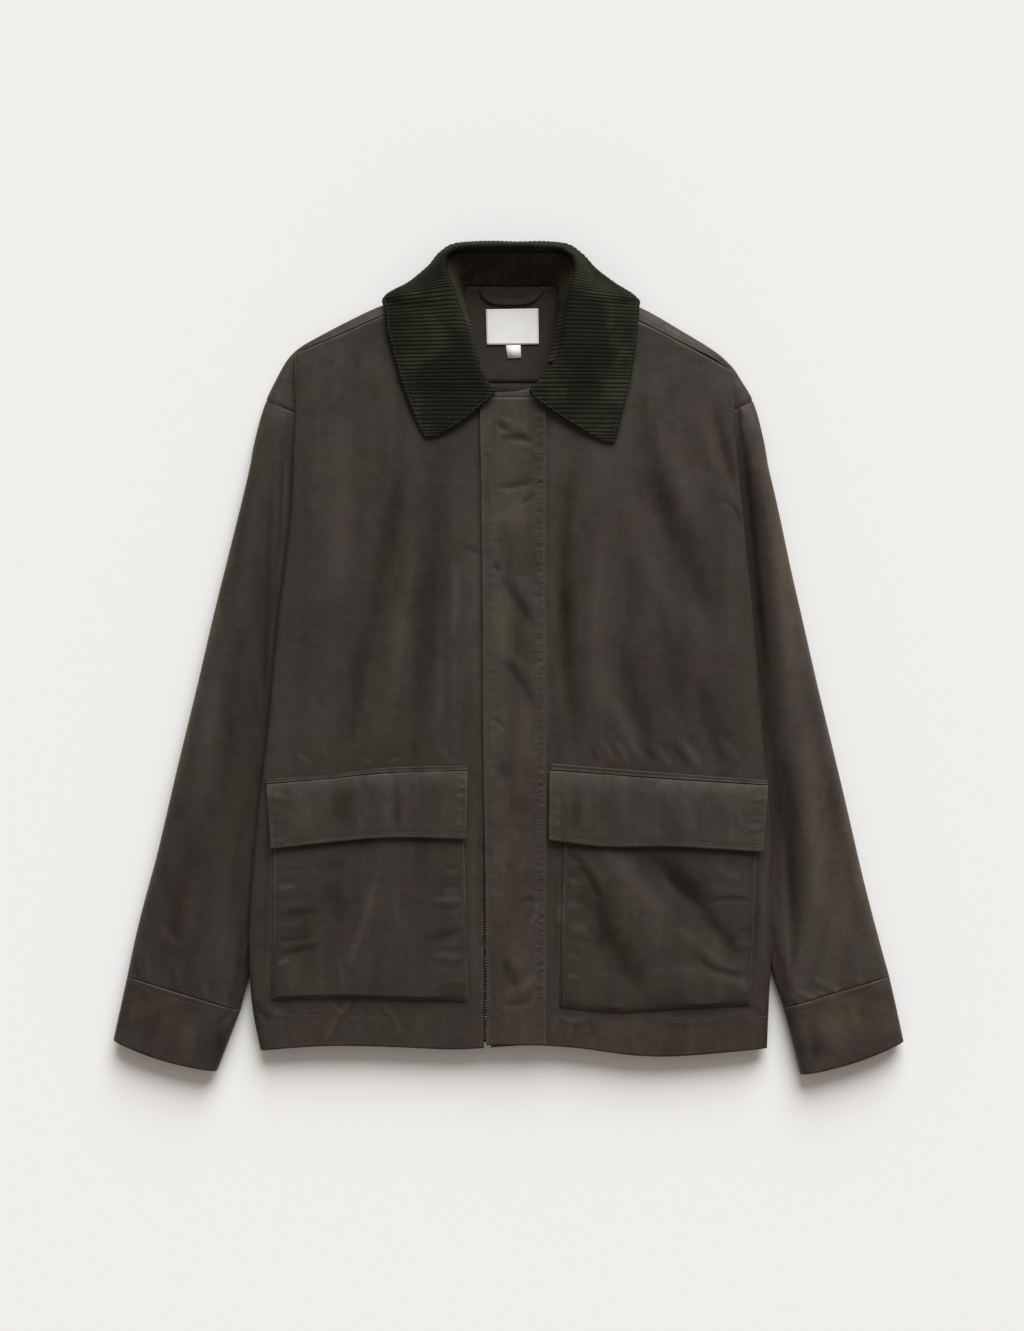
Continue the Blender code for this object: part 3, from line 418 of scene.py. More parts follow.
def cotton_twill(name, light, dark):
    """Cotton lining twill, piece dyed: matt, with diagonal ribs 0.8 mm apart that are drawn
    2 mm apart so that they show."""
    made, tree, shader, place = start_finish(name)
    turned = add(tree, "ShaderNodeMapping", {
        "Vector": place, "Rotation": (0, 0, math.radians(63))})
    ribs = add(tree, "ShaderNodeTexWave", {
        "Vector": turned, "Scale": 157.0, "Distortion": 1.2, "Detail": 2.0},
        wave_type="BANDS", bands_direction="X")
    clouds = add(tree, "ShaderNodeTexNoise", {
        "Vector": place, "Scale": 34.0, "Detail": 4.0, "Roughness": 0.6})
    ramp = add(tree, "ShaderNodeValToRGB", {"Fac": clouds})
    colour_stops(ramp, (0.35, dark), (0.65, light))
    raised = add(tree, "ShaderNodeBump", {
        "Height": ribs.outputs["Fac"], "Distance": 0.00012, "Strength": 0.5})
    fit(tree, shader, {"Base Color": ramp, "Roughness": 0.8, "IOR": 1.46,
                       "Specular IOR Level": 0.3, "Normal": raised})
    return made


twill = cotton_twill("cotton_twill_yoke_lining", "#352e25", "#2c261f")
dark_twill = cotton_twill("cotton_twill_back_lining", "#30261a", "#201912")
LINING_CREASES = (
    (-38, 340, -50, 272, 4, 6, 0.6), (44, 338, 56, 270, -4, 6, 0.6),
    (-20, 276, 30, 270, 3, 5, 0.35), (-40, 226, 40, 236, 4, 7, 0.4),
)


def lining_heights(x, y, z):
    """Creases on the lining's face only."""
    return np.maximum(crease_heights(LINING_CREASES, x, y), 0) * (z > 2)


yoke_lining = cloth_piece("yoke_lining_panel", "yoke_lining", twill, lining_heights,
                          diced(-66, 68, 261, 351, 5), levels=0, slot="lining_twill")
back_lining = cloth_piece("back_lining_panel", "back_lining", dark_twill, lining_heights,
                          diced(-66, 68, 205, 261, 6), levels=0, slot="lining_twill")

# ---- Sleeves and cuffs -------------------------------------------------------------------
# Straight two-layer sleeves, pressed flat, with their inner edge tucked under the fronts' side
# fold. Each ends in a plain doubled cuff that is seamed on and topstitched.
SLEEVE_CREASES = {RIGHT: (
    (-214, 203, -228, 10, 5, 2.4, -1.1), (-227, 40, -231, -96, 0, 2.8, -1),
    (-206, 206, -218, 55, 0, 2.8, 0.8), (-237, 206, -254, 17, 1, 9, 0.6),
    (-248, 55, -271, -153, -1, 9, -0.6), (-271, 17, -299, -191, -1, 11, 0.6),
    (-299, -172, -329, -309, 2, 8, -0.6), (-261, -163, -275, -309, 0, 8, 0.6),
    (-286, -210, -305, -314, 1, 7, -0.6), (-247, -191, -254, -323, 0, 4.7, -1),
    (-331, -255, -310, -276, 0, 4.7, 0.9), (-343, -276, -339, -310, 0, 2.8, 0.7),
    (-320, -295, -314, -318, 0, 2.8, -0.7), (-354, -287, -349, -306, 0, 2.5, -0.7),
    (-288, -304, -284, -325, 0, 3.3, 0.7), (-265, -309, -261, -329, 0, 2.8, -0.7),
    (-218, 251, -212, 242, 0, 2.8, -1.2), (-225, 248, -209, 234, 0, 2.8, 0.9),
    (-205, 282, -212, 227, 0, 3.3, -1.3), (-210, 276, -216, 244, 0, 3.8, 0.9),
), LEFT: (
    (221, 215, 245, -30, -1, 5.7, -1.7), (232, 192, 258, -59, 2, 7, -1),
    (247, 149, 277, -68, 1, 9, 1), (258, -73, 274, -309, 2, 8, -1.2),
    (275, -30, 292, -257, 4, 8, 1), (300, -96, 334, -276, 1, 9, -0.6),
    (315, -134, 349, -285, 2, 7, 0.6), (253, -134, 264, -314, 2, 3.8, 1),
    (247, -59, 257, -191, 0, 4.7, -0.8), (270, -314, 296, -327, 1, 2.8, 1),
    (281, -308, 313, -323, 2, 2.8, -0.9), (262, -323, 275, -329, 0, 2.5, -0.8),
    (306, -309, 315, -323, 0, 2.8, 0.8), (328, -300, 338, -316, 0, 3.8, 0.6),
    (215, 266, 226, 246, 0, 2.8, -1.3), (228, 261, 217, 242, 0, 2.8, 1),
    (223, 270, 232, 251, 0, 3.8, 0.8), (218, 234, 223, 206, 0, 2.8, 0.8),
)}
# Among these, the long narrow dark strips beside the fronts' side fold are painted shade, and the
# long pale strip 5 mm wide along each outer edge is a painted highlight.
SLEEVE_PATCHES = {RIGHT: (
    (-227, 60, 110, 3, 88, 0, -0.5), (-236, -170, 110, 4, 83, 0.1, -0.3),
    (-219, 110, 90, 5, 85, 0.2, 0.4), (-299, -47, 300, 5, 76.5, 0.15, 1.3),
    (-301, -40, 265, 9, 76, 0.05, 0.34), (-238, 41, 150, 8, 82, 0, -0.2),
    (-289, -161, 113, 11, 77, -0.1, -0.17), (-338, -282, 23, 17, 76, 0.1, 0.17),
    (-263, -40, 142, 11, 79, 0.05, 0.13), (-310, -229, 57, 9, 77, -0.2, -0.13),
    (-261, -191, 85, 9, 80, 0.1, -0.19), (-233, 178, 47, 9, 80, 0.2, 0.1),
), LEFT: (
    (231, 80, 150, 4, -84, 0.1, -0.45), (263, -210, 80, 8, -80, -0.1, -0.25),
    (293, -190, 110, 10, -84, 0.1, 0.4), (299.5, -47, 300, 5, -76.7, 0.1, 1.0),
    (296, -30, 265, 12, -77, -0.08, 0.42), (252, -48, 170, 9, -80, 0.25, -0.23),
    (276, -161, 113, 9, -77, -0.1, -0.19), (317, -242, 42, 17, -77, 0, 0.25),
    (261, 93, 85, 9, -79, -0.1, 0.19), (242, 168, 57, 9, -78, -0.1, -0.19),
    (271, -257, 57, 9, -80, 0.1, 0.15), (304, -153, 76, 9, -77, -0.1, 0.15),
)}
SLEEVE_FINE = {RIGHT: (
    (-366, -336, -246, -286), (-238, -100, -196, 296), (-228, 232, -200, 292),
), LEFT: (
    (254, -336, 366, -286), (206, -60, 262, 296), (212, 232, 240, 292),
)}
PLAIN = {RIGHT: (), LEFT: ()}


def both_sides(part, finishes, heights, patches=PLAIN, fine=PLAIN):
    """The wearer's right and left piece of one part, raised by heights(side, x, y, z)."""
    return {side: cloth_piece(f"{word}_{part}", f"{part}_{word}", finishes[side],
                              partial(heights, side), patches=patches[side], fine=fine[side])
            for side, word in ((RIGHT, "right"), (LEFT, "left"))}


def sleeve_heights(side, x, y, z):
    """Creases and sway of a sleeve's upper layer. The under layer stays flat."""
    return smooth_step(12.5, 17, z) * (
        crease_heights(SLEEVE_CREASES[side], x, y)
        + sway(x + 0.25 * y * side, y, 3.1 * side, 30, 160, 0.6))


sleeves = both_sides("sleeve", {
    RIGHT: waxed_cotton("right_sleeve", (0.7, 0.1, 0.1), -13, 0.85, 0.02),
    LEFT: waxed_cotton("left_sleeve", (0.2, 0.8, 0.6), 13, 1.36, -0.04),
}, sleeve_heights, SLEEVE_PATCHES, SLEEVE_FINE)

CUFF_CREASES = {RIGHT: (
    (-330, -330, -345, -372, 2, 7, -0.7), (-296, -336, -306, -385, -2, 8, 0.8),
    (-352, -312, -358, -352, 1, 5, 0.7), (-272, -340, -276, -384, 1, 5, -0.6),
), LEFT: (
    (300, -334, 318, -380, -2, 8, 0.9), (334, -326, 350, -366, 2, 7, -0.6),
    (282, -336, 292, -388, 2, 5, -0.7), (322, -330, 330, -352, 1, 4, 0.7),
)}
CUFF_PATCHES = {RIGHT: (
    (-338, -327, 30, 13, -18, -0.2, 0.15), (-281, -370, 21, 13, 70, 0.1, -0.15),
    (-310, -366, 28, 11, -15, -0.1, -0.06), (-360, -352, 15, 11, 0, 0.2, 0.11),
), LEFT: (
    (317, -338, 34, 15, 16, -0.2, 0.23), (285, -375, 17, 11, 0, 0.1, -0.1),
    (323, -366, 17, 13, 0, 0.15, 0.19), (359, -344, 15, 13, 0, -0.15, 0.19),
    (274, -347, 13, 17, 0, 0, -0.15),
)}
CUFF_FINE = {RIGHT: [(-370, -345, -250, -300)], LEFT: [(256, -345, 370, -300)]}
CUFF_ROWS = {
    RIGHT: [((-362, -303.5), (-326, -318.5), (-292, -328), (-258, -335.5))],
    LEFT: [((361, -303.5), (336, -315), (306, -326.5), (276, -333.5), (262, -333))],
}


def stitched_dip(rows, x, y, depth=0.4, half_width=1.2):
    """The dip that stitches pull into the cloth along each row, a list of points."""
    near = np.full_like(x, 9.0)
    for row in rows:
        for (x0, y0), (x1, y1) in zip(row, row[1:]):
            along_x, along_y = x1 - x0, y1 - y0
            t = ((x - x0) * along_x + (y - y0) * along_y) / (along_x ** 2 + along_y ** 2)
            t = np.clip(t, 0, 1)
            near = np.minimum(near, np.hypot(x - x0 - t * along_x, y - y0 - t * along_y))
    return -depth * np.exp(-(near / half_width) ** 2)


def cuff_heights(side, x, y, z):
    """Creases, stitches and sway of a cuff's upper layer."""
    return smooth_step(11, 16, z) * (
        crease_heights(CUFF_CREASES[side], x, y) + stitched_dip(CUFF_ROWS[side], x, y)
        + sway(x, y, 5.3 * side, 26, 26, 0.6))


cuffs = both_sides("cuff", {
    RIGHT: waxed_cotton("right_cuff", (0.4, 0.3, 0.9), 77, 0.98, -0.05),
    LEFT: waxed_cotton("left_cuff", (0.9, 0.6, 0.3), -77, 1.16, -0.09),
}, cuff_heights, CUFF_PATCHES, CUFF_FINE)

# ---- Fronts ------------------------------------------------------------------------------
# Two panels of waxed cotton, each with the fold at its side, lying over the back as an empty
# tube. Long soft folds run down them, and short ones run out from the pockets' corners.
FRONT_CREASES = {RIGHT: (
    (-99, 206, -159, -98, 4, 12, -1), (-74, 197, -89, -92, 11, 12, -0.9),
    (-44, 17, -50, -96, 5, 7, -0.5), (-93, 107, -118, -87, 4, 9, 0.6),
    (-53, 93, -53, 17, 3, 4.7, 0.8), (-38, 206, -31, -96, 2, 8, 0.5),
    (-161, 206, -165, 55, 6, 17, 0.6), (-44, 106, -25, 96, 1, 2.8, -0.8),
    (-65, 17, -68, -77, 2, 3.8, 0.5), (-172, -40, -165, -21, 0, 2.8, -0.5),
    (-201, -89, -186, -104, 0, 2.8, 0.7), (-176, -83, -169, -100, 0, 2.8, 0.6),
    (-140, -95, -127, -101, 0, 2.1, 0.8), (-116, -100, -100, -94, 0, 2.1, 0.8),
    (-65, -85, -52, -102, 0, 2.8, 0.6), (-91, -77, -86, -98, 0, 3.8, -0.5),
    (-161, -336, -174, -365, 0, 3.3, 0.8), (-148, -323, -163, -340, 1, 2.8, 1),
    (-169, -326, -155, -338, 0, 2.4, 0.8), (-118, -329, -99, -361, 0, 3.8, 0.6),
    (-127, -327, -106, -353, 2, 2.8, -0.8), (-233, -327, -208, -336, -4, 2.8, 0.8),
    (-239, -326, -223, -346, -2, 2.8, -0.8), (-79, -331, -86, -359, 0, 4.7, 0.5),
    (-227, -134, -231, -309, 1, 2.8, -0.7), (-34, -115, -31, -323, 0, 3.8, 0.5),
), LEFT: (
    (62, 206, 65, -94, -10, 8, -1), (79, 97, 88, -79, -2, 11, 0.7),
    (128, 249, 204, 28, -15, 13, -1.1), (141, 225, 204, 91, -6, 10, 0.8),
    (192, 249, 216, 157, -1, 5.7, -1.2), (178, 258, 204, 162, -5, 7, 0.5),
    (111, 112, 110, 3, 5, 10, -0.8), (103, 17, 143, -103, -3, 9, -0.9),
    (143, 64, 173, -84, -4, 9, -0.7), (181, -15, 204, -106, -3, 9, -0.8),
    (134, 93, 160, 15, 0, 7, 0.5), (92, -30, 126, -102, 1, 5.7, 0.7),
    (214, 55, 230, -89, 1, 9, 0.5), (210, 146, 223, 121, 2, 2.8, -1.1),
    (200, 149, 213, 145, 0, 2.8, -0.6), (83, -76, 100, -103, 3, 2.8, 0.8),
    (77, -87, 86, -102, 0, 2.8, -0.7), (99, -77, 116, -105, 1, 2.8, 0.8),
    (136, -79, 155, -106, 0, 3.8, 1), (127, -84, 139, -98, 0, 2.8, -0.7),
    (161, -76, 183, -108, 2, 3.8, 0.9), (151, -81, 172, -108, 2, 3.3, -0.8),
    (196, -73, 219, -100, 0, 4.7, 0.6), (44, -94, 41, 17, 0, 2.8, -0.5),
    (47, -335, 75, -339, -7, 2.5, 0.9), (46, -338, 41, -359, 0, 2.8, 0.8),
    (59, -344, 56, -363, 0, 2.8, 0.7), (75, -338, 83, -363, 0, 3.3, -0.8),
    (47, -233, 52, -255, -1, 4.7, 1), (236, -191, 231, -309, 1, 2.5, -0.8),
    (242, -191, 241, -309, 0, 2.8, 0.5), (124, -338, 223, -335, -7, 2.8, 0.6),
    (223, -327, 242, -338, 0, 2.8, -0.7), (41, -181, 43, -323, 3, 2.8, -0.6),
)}
FRONT_PATCHES = {RIGHT: (
    (-168, 170, 47, 76, 0, 0, 0.19), (-107, 49, 118, 16, 78, 0.35, -0.25),
    (-63, 65, 109, 13, 88, -0.05, -0.25), (-55, 168, 43, 15, 90, 0, -0.23),
    (-43, 1, 76, 8, 86, 0, 0.23), (-192, -48, 30, 45, 0, 0, 0.17),
    (-112, -80, 43, 21, 80, 0.4, -0.15), (-169, -82, 38, 19, 0, 0.3, 0.04),
    (-180, -351, 43, 19, 0, -0.3, 0.11), (-107, -349, 40, 19, 0, 0.25, 0),
    (-36, -352, 19, 15, 90, -0.25, 0.1), (-217, -181, 104, 7, 88, 0.1, 0.23),
    (-136, 178, 57, 11, 84, 0.1, -0.11), (-197, 93, 85, 9, 88, 0, -0.13),
    (-32, -134, 142, 8, 90, 0.3, 0),
), LEFT: (
    (54, 81, 142, 12, 90, 0.5, -0.19), (90, 17, 99, 11, 86, 0.1, 0.17),
    (172, 195, 52, 40, -60, -0.12, 0.19), (143, 138, 76, 14, -57, 0, -0.23),
    (138, -31, 43, 28, -50, -0.1, -0.21), (223, 17, 104, 11, -86, 0.15, 0.19),
    (179, 25, 57, 11, -60, 0, 0.13), (110, 93, 66, 9, -70, 0, -0.15),
    (198, 93, 66, 9, -72, 0.1, -0.15), (228, -82, 28, 15, 80, 0.25, 0.06),
    (181, -82, 33, 11, 20, 0, -0.15), (134, -356, 104, 17, 0, -0.3, 0.11),
    (49, -352, 24, 15, 0, -0.1, -0.11), (214, -352, 28, 15, 0, 0.1, -0.08),
    (41, -229, 85, 8, 90, 0.25, -0.1),
)}
FRONT_FINE = {RIGHT: (
    (-250, -376, -24, -316), (-216, -110, -34, -70), (-56, 90, -24, 112),
), LEFT: (
    (34, -380, 252, -316), (70, -112, 236, -68), (194, 116, 228, 156), (40, -262, 56, -226),
)}
HEM_ROWS = {
    RIGHT: [((-243, -337.5), (-185, -338), (-90, -339.5), (-25, -339))],
    LEFT: [((38, -338), (90, -341), (150, -344), (200, -342.5), (245, -339))],
}


def front_shape(side, x, y, z=None):
    """Creases and sway of a front. The pieces that lie on it follow the same shape."""
    return (crease_heights(FRONT_CREASES[side], x, y)
            + stitched_dip(HEM_ROWS[side], x, y, 0.3)
            + sway(x, y, 7.7 * side, 34, 210, 0.5) + sway(x, y, 9.1 * side, 19, 34, 0.3))


fronts = both_sides("front", {
    RIGHT: waxed_cotton("right_front", (0.15, 0.25, 0.7), 0, 1.0, 0.02),
    LEFT: waxed_cotton("left_front", (0.55, 0.05, 0.5), 0, 1.07, -0.03),
}, lambda side, x, y, z: smooth_step(14.5, 19, z) * front_shape(side, x, y),
    FRONT_PATCHES, FRONT_FINE)

# ---- Zip ---------------------------------------------------------------------------------
# A metal zip between the fronts: woven tape with a chain of moulded teeth, hidden by the storm
# flap but for a line of tooth ends at the flap's edge.
TOOTH_PITCH, TOOTH_SIZE = 2.6, (1.25, 3.0, 1.6)
TOOTH_ROWS = ((-21.3, 242.0), (-18.6, 240.7))       # x of each row, and y of its top end
CHAIN_LENGTH, CHAIN_MIDDLE = 602, -19.95
CHAIN_POINTS = 61                   # places where the height of the tape's bead is felt
SET_IN = 0.1                        # how far the teeth are clamped into the bead
DOWN, OVER_ZIP = Vector((0, 0, -1)), 60


def row_tree(name, shape, shape_inputs, least, most):
    """One shape to each pitch along lines, each a little uneven in size, as sewn or clamped."""
    tree = bpy.data.node_groups.new(name, "GeometryNodeTree")
    for given, kind in (("Lines", "Geometry"), ("Pitch", "Float"), ("Size", "Vector"),
                        ("Finish", "Material")):
        tree.interface.new_socket(given, in_out="INPUT", socket_type="NodeSocket" + kind)
    tree.interface.new_socket("Row", in_out="OUTPUT", socket_type="NodeSocketGeometry")
    given = add(tree, "NodeGroupInput").outputs
    line = add(tree, "GeometryNodeMeshToCurve", {"Mesh": given["Lines"]})
    even = add(tree, "GeometryNodeResampleCurve", {"Curve": line, "Length": given["Pitch"]},
               mode="LENGTH")
    along = add(tree, "FunctionNodeAlignRotationToVector", {
        "Vector": add(tree, "GeometryNodeInputTangent")}, axis="X")
    uneven = add(tree, "FunctionNodeRandomValue", {"Min": least, "Max": most, "Seed": 5},
                 data_type="FLOAT_VECTOR")
    scale = add(tree, "ShaderNodeVectorMath", {0: given["Size"], 1: uneven},
                operation="MULTIPLY")
    placed = add(tree, "GeometryNodeInstanceOnPoints", {
        "Points": even, "Instance": add(tree, shape, shape_inputs), "Rotation": along,
        "Scale": scale})
    real = add(tree, "GeometryNodeRealizeInstances", {"Geometry": placed})
    coloured = add(tree, "GeometryNodeSetMaterial", {
        "Geometry": real, "Material": given["Finish"]})
    add(tree, "NodeGroupOutput", {"Row": coloured})
    return tree


def set_out(name, runs, tree, finish, slot, pitch, size):
    """One mesh of a row tree's shapes along runs of points. Sizes are in millimetres."""
    points, edges = [], []
    for run in runs:
        edges += [(len(points) + i, len(points) + i + 1) for i in range(len(run) - 1)]
        points += [Vector(point) * MM for point in run]
    mesh = bpy.data.meshes.new(name + "_lines")
    mesh.from_pydata(points, edges, [])
    lines = in_scene(name + "_lines", mesh)
    rows = lines.modifiers.new("rows", "NODES")
    rows.node_group = tree
    given = {"Pitch": pitch * MM, "Size": [side * MM for side in size], "Finish": finish}
    for socket in tree.interface.items_tree:
        if socket.name in given:
            rows[socket.identifier] = given[socket.name]
    return finished(name, applied(lines), finish, slot)


def surface(piece):
    """A piece's faces, for rays to meet."""
    return BVHTree.FromObject(piece, bpy.context.evaluated_depsgraph_get())


def zip_alloy(name):
    """Brass teeth, plated dark and rubbed bright again at their tops."""
    made, tree, shader, place = start_finish(name)
    worn = add(tree, "ShaderNodeTexNoise", {"Vector": place, "Scale": 300.0, "Detail": 3.0})
    ramp = add(tree, "ShaderNodeValToRGB", {"Fac": worn})
    colour_stops(ramp, (0.35, "#4d463a"), (0.7, "#8d8370"))
    fit(tree, shader, {"Base Color": ramp, "Metallic": 1.0, "Roughness": 0.42})
    return made


zip_strip = cloth_piece("zip_tape_and_chain", "zip",
                        cotton_twill("woven_zip_tape", "#2b2925", "#1e1c19"), still,
                        levels=1, slot="zip_metal")
# Two rows of teeth clamped on the tapes' beaded edges, in step a half pitch apart.
chain = surface(zip_strip)
tooth_runs = []
for row_x, row_top in TOOTH_ROWS:
    run = []
    for row_y in np.linspace(row_top, row_top - CHAIN_LENGTH, CHAIN_POINTS):
        bead = chain.ray_cast(Vector((CHAIN_MIDDLE, row_y, OVER_ZIP)) * MM, DOWN)[0]
        run.append((row_x, row_y, bead.z / MM - SET_IN))
    tooth_runs.append(run)
tooth_row = row_tree("zip_teeth", "GeometryNodeMeshCube", {}, (0.9, 0.95, 0.95),
                     (1.05, 1.05, 1.05))
zip_teeth = set_out("zip_teeth", tooth_runs, tooth_row, zip_alloy("plated_brass"), "zip_metal",
                    TOOTH_PITCH, TOOTH_SIZE)

# ---- Storm flap --------------------------------------------------------------------------
# A doubled strip of waxed cotton that covers the zip. It is sewn to the left front by two rows
# of stitches that pucker it, and a narrow band finishes its top.
FLAP_CREASES = (
    (-12, 222, 5, 213, -1, 2.8, -1.3), (-9, 227, 4, 221, 0, 2.8, 0.8),
    (-9, 206, 22, 204, 4, 3.8, -1.3), (1, 198, 26, 196, 4, 3.8, 0.9),
    (-15, 161, 27, 168, -2, 3.3, -1), (8, 143, 28, 157, -1, 2.8, -1),
    (-14, 133, 20, 139, -5, 11, 1), (-5, 77, 25, 26, 1, 5.7, -1.3), (-10, 38, -1, -8, 0, 9, 1.1),
    (-5, 0, 24, -43, 2, 5.7, -1.2), (-15, -55, -2, -67, -1, 2.8, -0.9),
    (-15, 90, -7, 80, 0, 3.8, -0.9), (-10, -100, 3, -112, 0, 8, -0.8),
    (-1, -161, 9, -173, 0, 4.7, 0.9), (10, -230, 27, -234, 5, 2.8, -0.9),
    (29, -232, 17, -273, -2, 2.8, 0.7), (-4, -284, 7, -312, 0, 5.7, -1.1),
    (9, -317, 27, -300, 0, 4.7, 1.4), (-8, -326, 26, -320, -3, 3.8, -0.8),
    (5, -40, 20, -68, 0, 8, 0.6), (-8, -198, -1, -204, 0, 3.8, 0.7),
    (1, -134, 20, -146, 0, 8, -0.6),
)
FLAP_PATCHES = (
    (-4, 205, 28, 22, 80, -0.12, 0.4), (-3, 134, 36, 19, 90, 0.15, 0.5),
    (16, 94, 17, 13, 40, 0.35, -0.19), (-8, 43, 23, 14, 80, 0.15, 0.45),
    (14, 6, 25, 13, -60, 0.3, -0.19), (-11, -40, 43, 11, 90, 0.1, 0.15),
    (13, -73, 32, 15, 90, -0.5, 0.1), (-3, -134, 30, 19, 60, -0.3, -0.05),
    (9, -181, 52, 21, 90, -0.35, 0.17), (-6, -245, 36, 17, 90, -0.3, -0.15),
    (11, -281, 30, 15, 70, -0.2, 0.12), (3, -323, 40, 19, 90, -0.35, 0.1),
    (16, -352, 24, 17, 90, -0.3, 0), (-16, -96, 57, 7, 90, 0, 0.19),
    (11, 168, 19, 11, 0, 0.1, -0.15),
)
FLAP_ROWS = [
    ((-21.5, 244), (-19.5, 92), (-18.5, -78), (-16, -228), (-15, -315), (-15.5, -362)),
    ((28.8, 245), (28.6, 0), (28.6, -330)),
    ((33.0, 245), (32.8, 0), (32.8, -330)),
]
# The cloth swells in beads between the two rows, down to their foot.
BEAD_PITCH, BEAD_RISE, BEAD_WIDTH, BEAD_LINE, BEAD_FOOT = 5.7, 0.9, 1.9, 30.9, -332


def puckers(x0, y0, x1, y1, way, spacing, reach, half_width, height, seed):
    """Short creases across a stitched line, unevenly spaced. Way is the direction, in degrees,
    that they reach out from it."""
    chance = random.Random(seed)
    length = math.hypot(x1 - x0, y1 - y0)
    made, at = [], spacing * chance.uniform(0.3, 1.0)
    while at < length:
        x, y = x0 + (x1 - x0) * at / length, y0 + (y1 - y0) * at / length
        turn = math.radians(way + chance.uniform(-16, 16))
        out = reach * chance.uniform(0.6, 1.3)
        rise = height * chance.uniform(0.3, 1.2)
        made.append((x - math.cos(turn) * 2, y - math.sin(turn) * 2,
                     x + math.cos(turn) * out, y + math.sin(turn) * out,
                     chance.uniform(-1.5, 1.5), half_width * chance.uniform(0.8, 1.25), rise))
        at += spacing * chance.uniform(0.55, 1.5)
    return made


flap_puckers = (puckers(32, 236, 31, -330, 180, 6.2, 9, 2.2, 0.6, seed=11)
                + puckers(-20, 240, -15, -360, 0, 8.5, 7, 2.4, 0.4, seed=12))


def storm_flap_heights(x, y, z):
    """The front under the flap, its own creases and stitches, and the beads between its rows."""
    drift = np.array([noise.noise(Vector((at / 22, 0.3, 8.1))) for at in y])
    swell = np.cos(2 * math.pi * (y / BEAD_PITCH + drift)) * (0.7 + drift)
    beads = BEAD_RISE * swell * np.exp(-((x - BEAD_LINE) / BEAD_WIDTH) ** 2) * (y > BEAD_FOOT)
    return (front_shape(LEFT, x, y) + crease_heights(FLAP_CREASES, x, y)
            + crease_heights(flap_puckers, x, y) + stitched_dip(FLAP_ROWS, x, y) + beads)


storm_flap = cloth_piece(
    "storm_flap_strip", "storm_flap",
    waxed_cotton("storm_flap", (0.8, 0.4, 0.15), 0, 1.28, 0.1),
    storm_flap_heights, [("x", 27), ("x", 31.5)], FLAP_PATCHES, [(-30, -370, 40, 250)])
flap_band = cloth_piece(
    "storm_flap_top_band", "storm_flap_band",
    waxed_cotton("flap_band", (0.1, 0.9, 0.15), 90, 1.25),
    partial(front_shape, LEFT))

# ---- Pockets -----------------------------------------------------------------------------
# Bellows patch pockets: a bag with turned sides, a piped welt over its mouth, and a doubled
# flap that hangs from the welt's seam and casts a shadow on the bag.
BAG_CREASES = {RIGHT: (
    (-123, -199, -158, -308, 3, 5.7, 0.9), (-161, -284, -156, -319, 1, 2.8, 0.6),
    (-155, -291, -146, -301, 0, 4.7, -0.6), (-108, -231, -103, -249, 0, 3.8, 0.6),
    (-118, -249, -109, -265, 0, 5.7, -0.6), (-101, -222, -91, -236, 0, 5.7, -0.5),
    (-197, -281, -205, -316, 0, 8, 0.6), (-188, -198, -150, -193, 0, 5.7, -0.5),
    (-169, -210, -155, -252, 0, 11, -0.6), (-220, -201, -192, -198, 0, 2.8, -0.4),
    (-220, -218, -199, -216, 0, 3.3, 0.9), (-220, -229, -193, -227, 0, 2.8, -0.4),
    (-220, -243, -176, -239, 0, 3.8, -0.9), (-220, -253, -191, -251, 0, 3.3, 0.6),
    (-220, -267, -186, -264, 0, 3.3, -0.8), (-220, -280, -176, -272, 0, 3.8, -1),
    (-220, -291, -206, -285, 0, 2.8, 1), (-43, -197, -61, -198, 0, 2.8, -0.4),
    (-43, -205, -65, -204, 0, 2.8, 0.4), (-43, -214, -63, -217, 0, 2.8, -0.6),
    (-43, -228, -76, -230, 0, 3.8, 0.9), (-43, -236, -65, -237, 0, 2.8, -0.4),
    (-42, -257, -78, -267, 0, 4.7, -0.9), (-42, -270, -61, -271, 0, 2.8, 0.4),
    (-41, -284, -74, -280, 0, 3.8, 0.9), (-41, -291, -65, -293, 0, 2.8, -0.4),
    (-40, -304, -61, -306, 0, 2.8, 0.4),
), LEFT: (
    (58, -184, 88, -231, 3, 4.3, -1.3), (85, -227, 85, -285, 4, 9, -1),
    (98, -252, 129, -316, -6, 11, -0.9), (86, -183, 155, -255, 3, 11, 1),
    (132, -184, 194, -232, -1, 8, -1.1), (181, -236, 223, -285, -1, 7, -1.1),
    (147, -202, 192, -240, -3, 5.7, -1), (172, -222, 231, -222, 4, 3.8, 0.4),
    (136, -272, 181, -276, 16, 4.7, 0.5), (178, -269, 223, -295, -6, 4.7, 0.9),
    (179, -284, 226, -301, -4, 3.8, -0.8), (217, -304, 228, -316, 0, 5.7, 0.9),
    (183, -232, 232, -231, 4, 2.8, -0.7), (196, -198, 219, -212, 0, 5.7, 0.7),
    (214, -259, 232, -257, 0, 2.8, -0.5), (214, -271, 232, -270, 0, 2.8, 0.5),
    (124, -300, 223, -309, 8, 8, 0.8), (54, -193, 73, -197, 0, 2.8, 0.5),
    (54, -210, 68, -214, 0, 2.8, 0.7), (54, -233, 71, -236, 0, 3.8, 0.6),
    (54, -252, 75, -257, 0, 4.7, 0.7), (54, -264, 79, -268, 0, 3.3, -0.5),
    (53, -281, 69, -285, 0, 3.3, 0.5), (53, -300, 68, -302, 0, 2.8, 0.6),
)}
